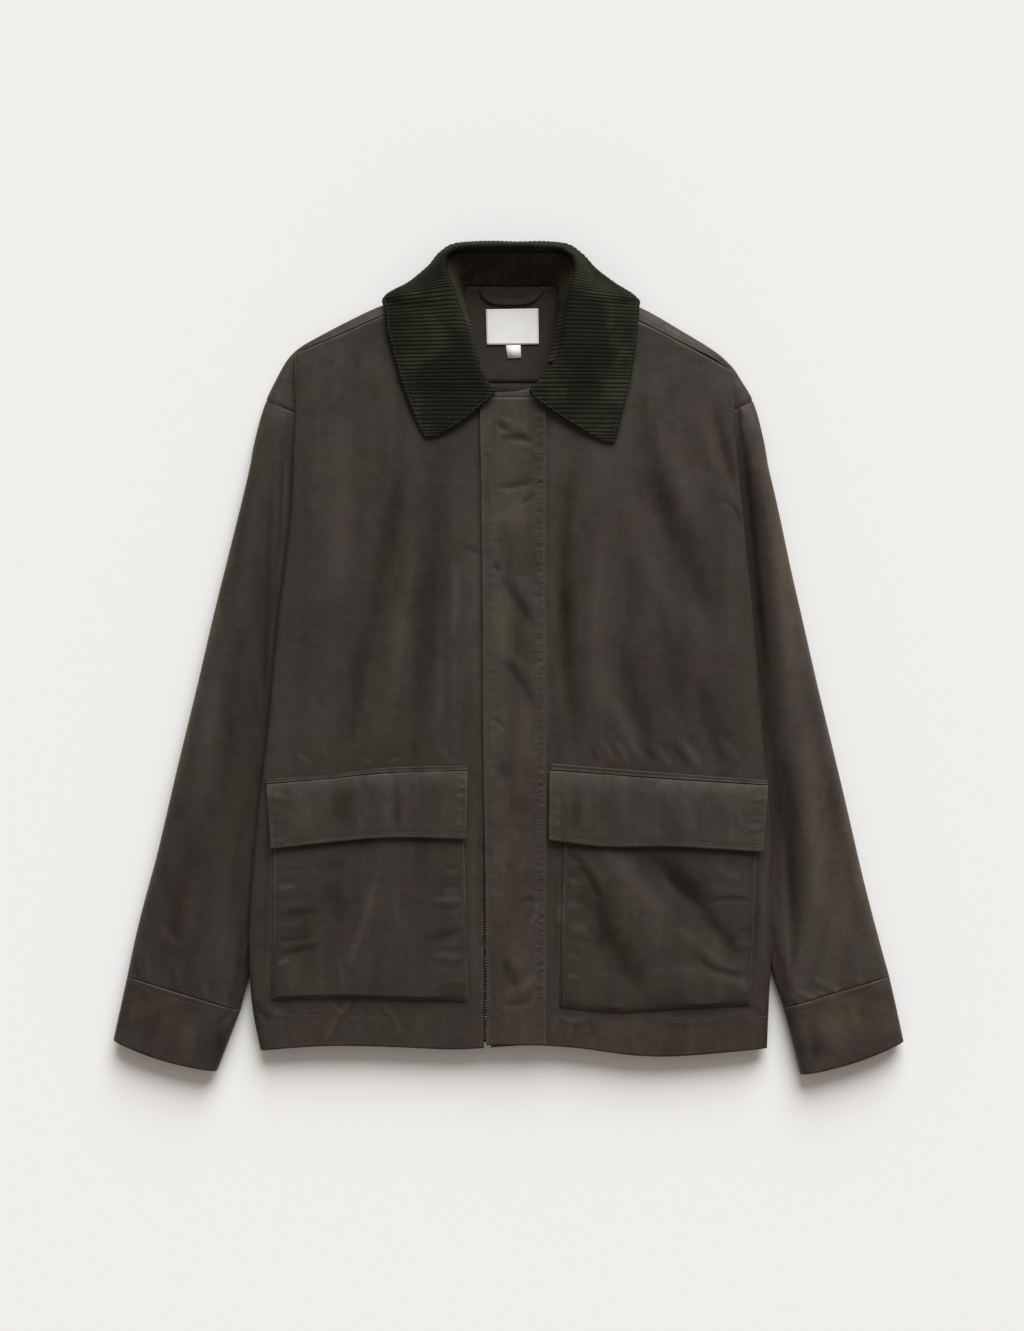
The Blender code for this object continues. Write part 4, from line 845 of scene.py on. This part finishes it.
BAG_PATCHES = {RIGHT: (
    (-192, -257, 34, 17, 85, 0.5, -0.24), (-163, -243, 42, 13, 85, -0.15, -0.2),
    (-103, -241, 38, 25, 90, 0.02, 0.08), (-56, -298, 25, 14, 0, 0.05, 0.3),
    (-200, -194, 22, 11, 0, 0.1, 0.22), (-197, -309, 25, 11, 0, 0.25, 0.08),
    (-134, -262, 50, 9, 72, -0.05, 0.1), (-65, -210, 25, 13, 60, 0, -0.11),
    (-92, -275, 30, 20, 90, 0.05, 0.05),
), LEFT: (
    (129, -246, 62, 20, -59, 0.02, 0.75), (86, -236, 62, 14, -66, 0.35, -0.4),
    (170, -222, 62, 13, -41, 0, -0.42), (70, -285, 36, 15, 90, 0.5, -0.22),
    (172, -264, 20, 9, 10, 0.02, 0.32), (194, -279, 32, 8, -35, 0.02, 0.32),
    (185, -308, 52, 11, 0, 0, 0.22), (216, -208, 25, 14, 90, 0, 0.08),
)}
BAG_ROWS = {
    RIGHT: [((-43.2, -186), (-42.6, -240), (-40.8, -320)),
            ((-218.5, -186), (-219.5, -250), (-221, -292))],
    LEFT: [((56.6, -188), (54.2, -250), (52.2, -325)), ((232, -190), (230, -262), (227, -303))],
}
POCKET_FLAP_CREASES = {RIGHT: [
    (-150, -121, -150, -164, -6, 10, -0.6), (-106, -108, -104, -166, -1, 3.8, -0.8),
    (-118, -134, -114, -168, 0, 5.7, 0.6), (-137, -149, -143, -169, 0, 3.8, 0.6),
    (-139, -115, -134, -127, 0, 3.3, -0.5), (-197, -125, -191, -168, 0, 9, 0.4),
    (-74, -115, -69, -164, 0, 11, -0.3),
], LEFT: [
    (61, -130, 59, -170, 4, 4.7, -0.6), (73, -125, 77, -163, 0, 5.7, 0.4),
    (109, -125, 116, -166, 0, 9, 0.4), (144, -121, 146, -166, 0, 8, -0.5),
    (215, -142, 222, -163, 0, 3.8, 0.6), (187, -121, 193, -138, 0, 8, -0.4),
    (170, -125, 173, -168, 0, 9, 0.4), (49, -168, 58, -178, 0, 2.8, -0.5),
]}
POCKET_FLAP_CREASES[RIGHT] += puckers(-41, -112, -42, -165, 180, 9, 10, 2.4, 0.6, seed=31)
POCKET_FLAP_CREASES[RIGHT] += puckers(-226, -126, -222, -172, 0, 8, 16, 2.6, 0.6, seed=32)
POCKET_FLAP_CREASES[LEFT] += puckers(42, -118, 41, -166, 0, 9, 9, 2.4, 0.6, seed=33)
POCKET_FLAP_CREASES[LEFT] += puckers(242, -126, 237, -176, 180, 9, 12, 2.4, 0.6, seed=34)
POCKET_FLAP_PATCHES = {RIGHT: (
    (-160, -145, 21, 19, 90, 0.3, 0.11), (-197, -153, 21, 17, 0, 0.1, 0.17),
    (-120, -153, 26, 6, 88, 0, -0.19), (-93, -148, 23, 13, 90, -0.05, 0.11),
    (-51, -148, 26, 9, 88, 0.2, 0.15), (-140, -129, 28, 8, 0, 0, -0.11),
    (-211, -129, 13, 19, 0, 0.1, -0.1),
), LEFT: (
    (60, -114, 24, 8, 0, 0.1, 0.25), (50, -142, 24, 8, 88, 0.4, -0.19),
    (77, -148, 21, 13, 80, 0.2, -0.06), (169, -127, 40, 11, -4, 0, 0.23),
    (157, -157, 23, 6, 90, 0, -0.17), (190, -129, 9, 9, 0, 0.35, -0.08),
    (220, -168, 21, 9, -4, 0.1, 0.23), (129, -146, 28, 17, 0, -0.1, -0.1),
    (101, -170, 28, 8, 0, 0, 0.15),
)}
POCKET_FLAP_ROWS = {
    RIGHT: [((-42.5, -112), (-43.5, -165.5)),
            ((-43.5, -165.5), (-111, -164.4), (-161, -168.2), (-220, -175)),
            ((-220, -175), (-223.5, -125))],
    LEFT: [((42.5, -112), (42.5, -167.5)),
           ((42.5, -167.5), (94, -173.6), (148, -172.8), (235.5, -178)),
           ((235.5, -178), (240.5, -127))],
}
WELT_GROOVES = {
    RIGHT: [((-36, -103.5), (-127, -106.2), (-150, -110), (-232, -116.8))],
    LEFT: [((37, -102.2), (137, -110), (248, -118))],
}
POCKET_FINE = dict.fromkeys((RIGHT, LEFT), [(-260, -340, 260, -100)])


def pocket_heights(creases, rows, side, x, y, z):
    """The front under a pocket's piece, with the piece's own creases and stitches."""
    return (front_shape(side, x, y) + crease_heights(creases[side], x, y)
            + stitched_dip(rows[side], x, y, 0.45))


pocket_flap_cloth = {
    RIGHT: waxed_cotton("right_pocket_flap", (0.2, 0.1, 0.9), 0, 1.03, 0.04),
    LEFT: waxed_cotton("left_pocket_flap", (0.5, 0.9, 0.1), 0, 1.16, 0.02),
}
bags = both_sides("pocket_bag", {
    RIGHT: waxed_cotton("right_bag", (0.33, 0.77, 0.2), 0, 0.89, 0.0),
    LEFT: waxed_cotton("left_bag", (0.66, 0.22, 0.85), 0, 0.88, 0.03),
}, partial(pocket_heights, BAG_CREASES, BAG_ROWS), BAG_PATCHES, POCKET_FINE)
pocket_flaps = both_sides(
    "pocket_flap", pocket_flap_cloth,
    partial(pocket_heights, POCKET_FLAP_CREASES, POCKET_FLAP_ROWS),
    POCKET_FLAP_PATCHES, POCKET_FINE)
welts = both_sides("pocket_welt", pocket_flap_cloth,
                   partial(pocket_heights, PLAIN, WELT_GROOVES))

# ---- Collar ------------------------------------------------------------------------------
# Turned-down collar of dark green needlecord. The fall has a leaf on each front and rolls over
# at the back; the stand joins it to the neck. Cords run across the leaves and up the stand.
FALL_THICK, STAND_THICK, SEAM = 2.0, 1.8, 0.3
CORD_RISE, CORD_SHARE = 0.7, 0.26   # how far a cord stands up, and at most for its width
CORD_ROUND = 0.7                    # a cord's profile: 1 is round, and less has a flatter top
CORD_POINTS = 8                     # columns to a cord
FALL_ROWS, STAND_ROWS = 22, 8
STAND_FROM = 20                     # cords of the fall, from a leaf's point, that have no stand
STAND_SLACK = 0.6                   # how far the stand's middle hangs below a straight line
VALLEY = 0.6                        # share of a cord's profile below the cloth's middle


def smooth_between(t, start, end, start_slope, end_slope):
    """A place on the smooth curve from start to end that leaves and arrives with these slopes."""
    return (start * (2 * t ** 3 - 3 * t ** 2 + 1) + end * (3 * t ** 2 - 2 * t ** 3)
            + start_slope * (t ** 3 - 2 * t ** 2 + t) + end_slope * (t ** 3 - t ** 2))


class Table:
    """Sizes in named columns, a row for each station, read from a smooth curve."""

    def __init__(self, columns, *rows):
        self.columns, self.rows = columns.split(), rows

    def __call__(self, name, station):
        rows, place = self.rows, self.columns.index(name)
        lower = min(int(station), len(rows) - 2)

        def slope(index):
            before, after = rows[max(index - 1, 0)], rows[min(index + 1, len(rows) - 1)]
            return (after[place] - before[place]) / (after[0] - before[0])

        return smooth_between(station - lower, rows[lower][place], rows[lower + 1][place],
                              slope(lower), slope(lower + 1))

    def point(self, name, station):
        return Vector((self(name + "_x", station), self(name + "_y", station)))


COLLAR_RIGHT = Table(
    "station edge_x edge_y seam_x seam_y neck_x neck_y",
    (0, -79, 208.5, -68.5, 209, -20, 250), (1, -86, 221, -48.5, 220, -20, 250),
    (2, -93, 237, -26, 237, -20, 250), (3, -99, 252.5, -12, 250.5, -20, 250),
    (4, -102.5, 262, -20.5, 262, -20.5, 257), (5, -109.5, 286.5, -32.5, 286.5, -29, 286.5),
    (6, -115.5, 309, -38.5, 309, -34, 309), (7, -117, 328, -45.5, 331.5, -39, 329),
    (8, -118, 342, -51.5, 348.5, -41.5, 339), (9, -92, 356.5, -57, 366.5, -42.5, 346),
    (10, -74.5, 371, -56, 377, -41.5, 351.5), (11, -62.5, 383.5, -49.5, 381.5, -37, 352.8),
    (12, -44.5, 391.5, -39, 382.5, -25, 352.8), (13, 0, 392, 0, 382.5, 0, 352.7))
COLLAR_LEFT = Table(
    "station edge_x edge_y seam_x seam_y neck_x neck_y",
    (0, 100.5, 203, 90, 204, 28, 258), (1, 104, 216.5, 67.5, 216.5, 28, 258),
    (2, 108, 234.5, 38.5, 234.5, 28, 258), (3, 112.5, 250.5, 19.5, 250.5, 28, 258),
    (4, 115.5, 263.5, 30.5, 263.5, 28, 261), (5, 119, 286.5, 46.5, 286.5, 39, 286.5),
    (6, 121.5, 309, 50.5, 309, 43.5, 309), (7, 123.5, 330, 53.5, 331.5, 47, 329),
    (8, 122, 341, 58, 347, 46.5, 339), (9, 97, 356.5, 61, 365, 47, 346),
    (10, 80, 370, 58, 377, 45.5, 351.5), (11, 66.5, 383, 50.5, 381.5, 40.5, 352.8),
    (12, 48.5, 391.5, 40, 382.5, 28, 352.8), (13, 0, 392, 0, 382.5, 0, 352.7))
COLLAR_SHAPE = Table(
    "station edge_z mid_out mid_z crest_out crest_z seam_z neck_z cords",
    (0, 25.7, -4, 26.0, 3.5, 26.2, 26.0, 22.5, 4), (1, 25.7, -18, 27.1, 9, 28.0, 28.0, 22.5, 4),
    (2, 25.7, -33, 28.2, 12, 29.3, 28.8, 22.5, 4), (3, 25.5, -43, 29.5, 11, 31.0, 29.8, 22.5, 3),
    (4, 25.3, -40, 31.0, 7, 34.0, 31.0, 22.5, 7), (5, 24.8, -36, 33.0, 6, 38.0, 34.0, 21.5, 6),
    (6, 24.2, -36, 34.0, 6.5, 41.0, 36.0, 20.5, 6), (7, 23.1, -33, 34.0, 7, 43.0, 37.0, 19.5, 4),
    (8, 15.0, -9, 27.0, 7, 44.0, 38.0, 17.5, 7), (9, 2.0, 2.5, 17.0, 7, 44.0, 37.0, 13.5, 5),
    (10, 0.0, 2.5, 18.0, 6, 43.0, 35.0, 7.0, 4), (11, 0.0, 2.5, 18.0, 6, 42.0, 33.0, 2.6, 4),
    (12, 0.0, 2.2, 18.0, 6, 40.0, 31.0, 1.8, 12), (13, 0.0, 2.2, 18.0, 6, 39.0, 30.0, 1.8, 0))


def cord_stations():
    """Stations of the columns round the collar, from the right leaf's point to the left's."""
    one_side = [row[0] + step / (CORD_POINTS * row[-1])
                for row in COLLAR_SHAPE.rows[:-1] for step in range(CORD_POINTS * row[-1])]
    return ([(COLLAR_RIGHT, station) for station in one_side] + [(COLLAR_RIGHT, 13.0)]
            + [(COLLAR_LEFT, station) for station in reversed(one_side)])


def fall_keys(plan, station):
    """The points that a column of the fall is drawn through, from its edge to its seam."""
    edge, seam = plan.point("edge", station), plan.point("seam", station)
    out = (edge - seam).normalized()
    middle = edge + out * COLLAR_SHAPE("mid_out", station)
    crest = seam + out * COLLAR_SHAPE("crest_out", station)
    return [(*edge, max(COLLAR_SHAPE("edge_z", station), 0)),
            (*middle, COLLAR_SHAPE("mid_z", station)),
            (*crest, COLLAR_SHAPE("crest_z", station)),
            (*seam, COLLAR_SHAPE("seam_z", station))]


def even_points(keys, steps):
    """Points at equal distances along a smooth curve through the keys."""
    keys = np.array(keys, float)
    t = np.linspace(0, 1, 13)[:-1, None]
    fine = []
    for i in range(len(keys) - 1):
        before, after = keys[max(i - 1, 0)], keys[min(i + 2, len(keys) - 1)]
        start, end = keys[i], keys[i + 1]
        fine.append(smooth_between(t, start, end, (end - before) / 2, (after - start) / 2))
    fine = np.vstack(fine + [keys[-1:]])
    lengths = lengths_along(fine)
    wanted = np.linspace(0, lengths[-1], steps + 1)
    return np.stack([np.interp(wanted, lengths, fine[:, k]) for k in range(3)], axis=1)


def lengths_along(points):
    """How far along a line each of its points is."""
    return np.r_[0, np.cumsum(np.linalg.norm(np.diff(points, axis=0), axis=1))]


def corded_shell(grid, thickness, inner_every, wobble):
    """Closed needlecord wall on a grid of columns: round cords outside, plain inside."""
    along = np.gradient(grid, axis=0)
    up = np.gradient(grid, axis=1)
    facing = np.cross(up, along)
    facing /= np.linalg.norm(facing, axis=2)[..., None]
    count = len(grid)
    phase = (np.arange(count) % CORD_POINTS) / CORD_POINTS
    spacing = np.linalg.norm(along, axis=2) * CORD_POINTS
    profile = np.sin(math.pi * phase) ** CORD_ROUND - VALLEY
    rise = profile[:, None] * np.minimum(CORD_RISE, CORD_SHARE * spacing)
    outer = grid + facing * (rise + wobble)[..., None]
    inner = grid[:, ::inner_every] - facing[:, ::inner_every] * thickness
    outer[..., 2] = np.maximum(outer[..., 2], 0)
    inner[..., 2] = np.maximum(inner[..., 2], 0)
    ring = np.concatenate([outer, inner[:, ::-1]], axis=1)
    height = ring.shape[1]
    faces = []
    for i in range(count - 1):
        for j in range(height):
            k = (j + 1) % height
            faces.append((i * height + j, i * height + k,
                          (i + 1) * height + k, (i + 1) * height + j))
    faces.append(tuple(range(height - 1, -1, -1)))
    faces.append(tuple((count - 1) * height + j for j in range(height)))
    mesh = bpy.data.meshes.new("needlecord")
    mesh.from_pydata((ring.reshape(-1, 3) * MM).tolist(), [], faces)
    # how far up its cord each outer point is: the needlecord paints highlight on the tops and shade
    # in the valleys from it
    cord = np.zeros(ring.shape[:2])
    cord[:, :outer.shape[1]] = (profile[:, None] + VALLEY) * np.ones(outer.shape[1])
    keep_value(mesh, "cord", cord)
    return mesh


def needlecord(name, valley, middle, crest):
    """Cotton needlecord, cut pile, dyed bottle green: the colour is painted lighter on the round
    tops of the cords as a painted highlight where they catch the light, and nearly black in
    the valleys between them as painted shade, and the pile is crushed in patches."""
    made, tree, shader, place = start_finish(name)
    cord = add(tree, "ShaderNodeAttribute", attribute_name="cord").outputs["Fac"]
    # crushed patches 50 mm across, and pile 2.4 mm across, as coarse as it needs to show
    patches = add(tree, "ShaderNodeTexNoise", {
        "Vector": place, "Scale": 20.0, "Detail": 3.0, "Roughness": 0.6, "Distortion": 0.5})
    pile = add(tree, "ShaderNodeTexNoise", {
        "Vector": place, "Scale": 420.0, "Detail": 3.0, "Roughness": 0.7})
    crushed = add(tree, "ShaderNodeMapRange", {
        "Value": patches, "From Min": 0.36, "From Max": 0.66, "To Min": 0.12, "To Max": 1.0})
    # painted highlight on the cords' tops and painted shade in their valleys, lessened where the
    # pile is crushed
    tops = add(tree, "ShaderNodeMath", {0: cord, 1: crushed}, operation="MULTIPLY")
    ramp = add(tree, "ShaderNodeValToRGB", {"Fac": tops})
    colour_stops(ramp, (0.0, valley), (0.45, middle), (1.0, crest))
    fuzz = add(tree, "ShaderNodeBump", {"Height": pile, "Distance": 0.0003, "Strength": 0.6})
    fit(tree, shader, {
        "Base Color": ramp, "Roughness": 0.9, "IOR": 1.4, "Specular IOR Level": 0.25,
        "Sheen Weight": 0.12, "Sheen Roughness": 0.5, "Sheen Tint": linear("#4a4c2a"),
        "Normal": fuzz})
    return made


stations = cord_stations()
fall_grid = np.array([even_points(fall_keys(plan, at), FALL_ROWS) for plan, at in stations])
fall_wobble = sway(*fall_grid.reshape(-1, 3)[:, :2].T, 2.2, 24, 24, 0.5)
collar_fall = finished(
    "collar_fall_cords",
    corded_shell(fall_grid, FALL_THICK, 3, fall_wobble.reshape(fall_grid.shape[:2])),
    needlecord("cotton_needlecord", "#11130a", "#1b1d10", "#343425"), "corduroy", "collar_fall")

stand_grid = []
for plan, at in stations[STAND_FROM * CORD_POINTS:-STAND_FROM * CORD_POINTS]:
    seam = Vector((*plan.point("seam", at), COLLAR_SHAPE("seam_z", at)))
    neck = Vector((*plan.point("neck", at), COLLAR_SHAPE("neck_z", at)))
    rolled = even_points(fall_keys(plan, at), 7)
    turn = Vector(rolled[-1] - rolled[-2]).angle(neck - seam)
    head = seam + (neck - seam).normalized() * (2 * SEAM + FALL_THICK * math.sin(turn))
    middle = head.lerp(neck, 0.5) - Vector((0, 0, STAND_SLACK))
    stand_grid.append(even_points([head, middle, neck], STAND_ROWS))
stand_grid = np.array(stand_grid)
# The stand has its own browner copy of the same needlecord, whose colours are painted to match the
# stand as it looks in the shade inside the neck.
collar_stand = finished(
    "collar_stand_cords",
    corded_shell(stand_grid, STAND_THICK, 2, np.zeros(stand_grid.shape[:2])),
    needlecord("cotton_needlecord_stand_shade_copy", "#1a1811", "#2c291d", "#45402f"), "corduroy",
    "collar_stand")

# ---- Hanger loop, label and size tag -----------------------------------------------------
# A flat strap loop of lining cloth at the back neck, and under it a woven label and a small
# size tag, both left bare.


def woven_label_cloth(name, light, dark):
    """Woven polyester label tape: matt off-white, with ribs 0.4 mm apart across it that are
    drawn 1.2 mm apart so that they show."""
    made, tree, shader, place = start_finish(name)
    ribs = add(tree, "ShaderNodeTexWave", {"Vector": place, "Scale": 260.0, "Distortion": 0.4},
               wave_type="BANDS", bands_direction="Y")
    clouds = add(tree, "ShaderNodeTexNoise", {"Vector": place, "Scale": 60.0, "Detail": 3.0})
    ramp = add(tree, "ShaderNodeValToRGB", {"Fac": clouds})
    colour_stops(ramp, (0.3, light), (0.7, dark))
    raised = add(tree, "ShaderNodeBump", {
        "Height": ribs.outputs["Fac"], "Distance": 0.0001, "Strength": 0.4})
    fit(tree, shader, {"Base Color": ramp, "Roughness": 0.7, "Normal": raised})
    return made


label_cloth = woven_label_cloth("woven_label_tape", "#f6f4ee", "#efece6")
loop = cloth_piece("hanger_strap", "hanger_loop", twill, still, slot="lining_twill")
neck_label = cloth_piece(
    "neck_label_tape", "neck_label", label_cloth,
    lambda x, y, z: 0.25 * np.abs(np.sin(x / 9)) * (z > 4),
    diced(-21.5, 28.8, 297.6, 332.1, 2), levels=0, slot="woven_label")
size_tag = cloth_piece("size_tag_tape", "size_tag", label_cloth, still, levels=0,
                       slot="woven_label")

# ---- Topstitching ------------------------------------------------------------------------
# Every seam and edge is topstitched in lockstitch with polyester-cotton thread, dyed to match:
# waxed at the body, green at the collar, white round the label.
SHOULDER_ROWS = [
    ((-229, 249.5), (-222, 247), (-212, 241.5), (-207, 236)),
    ((-230.5, 245.5), (-224, 243), (-216, 239), (-210.5, 233.5)),
    ((231, 250), (226, 246.5), (218, 241)), ((232.5, 246), (228, 243.5), (220, 238.5)),
    ((-112, 331.5), (-150, 313.5), (-178, 301.8), (-194, 293.5)),
    ((124, 324.5), (160, 304.5), (186, 290.5), (208, 277.8)),
]
BAND_ROW = ((-25, 247.4), (4, 248.4), (34, 249.6))
LABEL_BORDER = ((-20.2, 330.2), (27.1, 330.9), (27.5, 299.4), (-19.4, 298.8), (-20.2, 330.2))
LEAF_MARGIN = 3.2                   # from the collar's edge to its stitches
ON_CORDS, ON_CLOTH = 0.75, 0.12     # how far a stitch stands over the cords and the cloth
LEAF_POINT, LEAF_TOP = 0.8, 3       # stations that the leaves' inner rows run between
EVERY = 6                           # columns of the collar between points of its rows
OVERHEAD = 90                       # higher than every piece


def thread(name, colour):
    """Spun polyester-cotton thread: matt and a little fuzzy, hardly paler than its cloth."""
    made, tree, shader, place = start_finish(name)
    worn = add(tree, "ShaderNodeTexNoise", {"Vector": place, "Scale": 90.0, "Detail": 3.0})
    value = add(tree, "ShaderNodeMapRange", {
        "Value": worn, **MIDDLE, "To Min": 0.6, "To Max": 1.3})
    dyed = add(tree, "ShaderNodeHueSaturation", {"Color": linear(colour), "Value": value})
    fit(tree, shader, {"Base Color": dyed, "Roughness": 0.75})
    return made


def let_down(line, cloths, step=2.0):
    """Points every step along a line drawn in plan, on the cloth below them."""
    keys = [(x, y, 0.0) for x, y in line]
    length = sum(math.dist(a, b) for a, b in zip(keys, keys[1:]))
    points = []
    for x, y, _ in even_points(keys, max(2, round(length / step))):
        hits = [cloth.ray_cast(Vector((x, y, OVERHEAD)) * MM, DOWN)[0] for cloth in cloths]
        heights = [hit.z / MM for hit in hits if hit]
        if heights:
            points.append((x, y, max(heights) + ON_CLOTH))
    return points


def sew(name, runs, finish, slot, pitch=3.4, length=2.7, width=0.6):
    """One mesh of stitches along runs of points in millimetres."""
    return set_out(name, runs, lockstitch, finish, slot, pitch, (length, width, 0.9 * width))


lockstitch = row_tree("lockstitch", "GeometryNodeMeshUVSphere", {"Segments": 6, "Rings": 4},
                      (0.38, 0.42, 0.4), (0.54, 0.58, 0.5))
body_thread = thread("dyed_sewing_thread", "#4f4739")
collar_thread = thread("green_sewing_thread", "#2e3226")
label_thread = thread("white_sewing_thread", "#cfccc4")

on_fronts, on_cuffs, on_pockets = (
    [surface(piece) for piece in pieces]
    for pieces in (fronts.values(), cuffs.values(), (*bags.values(), *pocket_flaps.values())))
body_rows = [([surface(storm_flap), surface(flap_band)], FLAP_ROWS + [BAND_ROW]),
             ([surface(piece) for piece in (yoke, *sleeves.values())], SHOULDER_ROWS)]
for side in (RIGHT, LEFT):
    body_rows += [(on_fronts, HEM_ROWS[side]), (on_cuffs, CUFF_ROWS[side]),
                  (on_pockets, BAG_ROWS[side] + POCKET_FLAP_ROWS[side])]
sew("body_topstitching",
    [let_down(line, cloths) for cloths, rows in body_rows for line in rows],
    body_thread, "waxed_cotton")

edge_run, leaf_runs = [], {COLLAR_RIGHT: [], COLLAR_LEFT: []}
for column, (plan, at) in zip(fall_grid, stations):
    if at < LEAF_POINT:
        continue
    reach = lengths_along(column)
    rows = [(LEAF_MARGIN, edge_run)]
    if at <= LEAF_TOP:
        rows.append((reach[-1] - LEAF_MARGIN, leaf_runs[plan]))
    for margin, run in rows:
        x, y, z = (np.interp(margin, reach, column[:, k]) for k in range(3))
        run.append((x, y, z + ON_CORDS))
sew("collar_topstitching", [run[::EVERY] for run in (edge_run, *leaf_runs.values())],
    collar_thread, "corduroy", 3.2, 2.5, 0.9)

label_runs = [let_down(line, [surface(neck_label)], 1.5)
              for line in zip(LABEL_BORDER, LABEL_BORDER[1:])]
label_stitches = sew("label_topstitching", label_runs, label_thread, "woven_label", 2.0, 1.7, 0.5)

# ---- Surface, light and camera -----------------------------------------------------------
# A pale plain tabletop, a broad soft light from beyond the collar, a warmer glow from the room
# all round it, and the camera straight above.
TABLE_HALF, TABLE_TOP = 4, -0.0003
floor_mesh = bpy.data.meshes.new("tabletop")
floor_mesh.from_pydata([(TABLE_HALF * x, TABLE_HALF * y, TABLE_TOP)
                        for x, y in ((-1, -1), (1, -1), (1, 1), (-1, 1))], [], [(0, 1, 2, 3)])
paint = bpy.data.materials.new("matt_painted_board")
paint.use_nodes = True
fit(paint.node_tree, paint.node_tree.nodes["Principled BSDF"], {
    "Base Color": linear("#efedeb"), "Roughness": 0.9})
floor_mesh.materials.append(paint)
in_scene("tabletop", floor_mesh)

world = bpy.data.worlds.new("room")
world.use_nodes = True
fit(world.node_tree, world.node_tree.nodes["Background"], {
    "Color": linear("#f4eadf"), "Strength": 0.38})
bpy.context.scene.world = world
bpy.context.scene.view_settings.view_transform = "Standard"

lamp = bpy.data.lights.new("broad_window", "SUN")
lamp.angle = math.radians(46)
lamp.energy = 4.31
lamp.color = (0.924, 0.964, 1.0)
window = in_scene("broad_window", lamp)
window.rotation_euler = Vector((0.16, 0.75, 0.48)).to_track_quat("Z", "Y").to_euler()

CAMERA_PLACE = (0.0033, -0.0071, 3.02)
SENSOR, FRAME_WIDTH, FRAME_AWAY = 36.0, 1.258, 3.0      # that width fills the frame that far away
lens_data = bpy.data.cameras.new("camera")
lens_data.sensor_width = SENSOR
lens_data.lens = SENSOR * FRAME_AWAY / FRAME_WIDTH
camera = in_scene("camera", lens_data)
camera.location = CAMERA_PLACE
bpy.context.scene.camera = camera
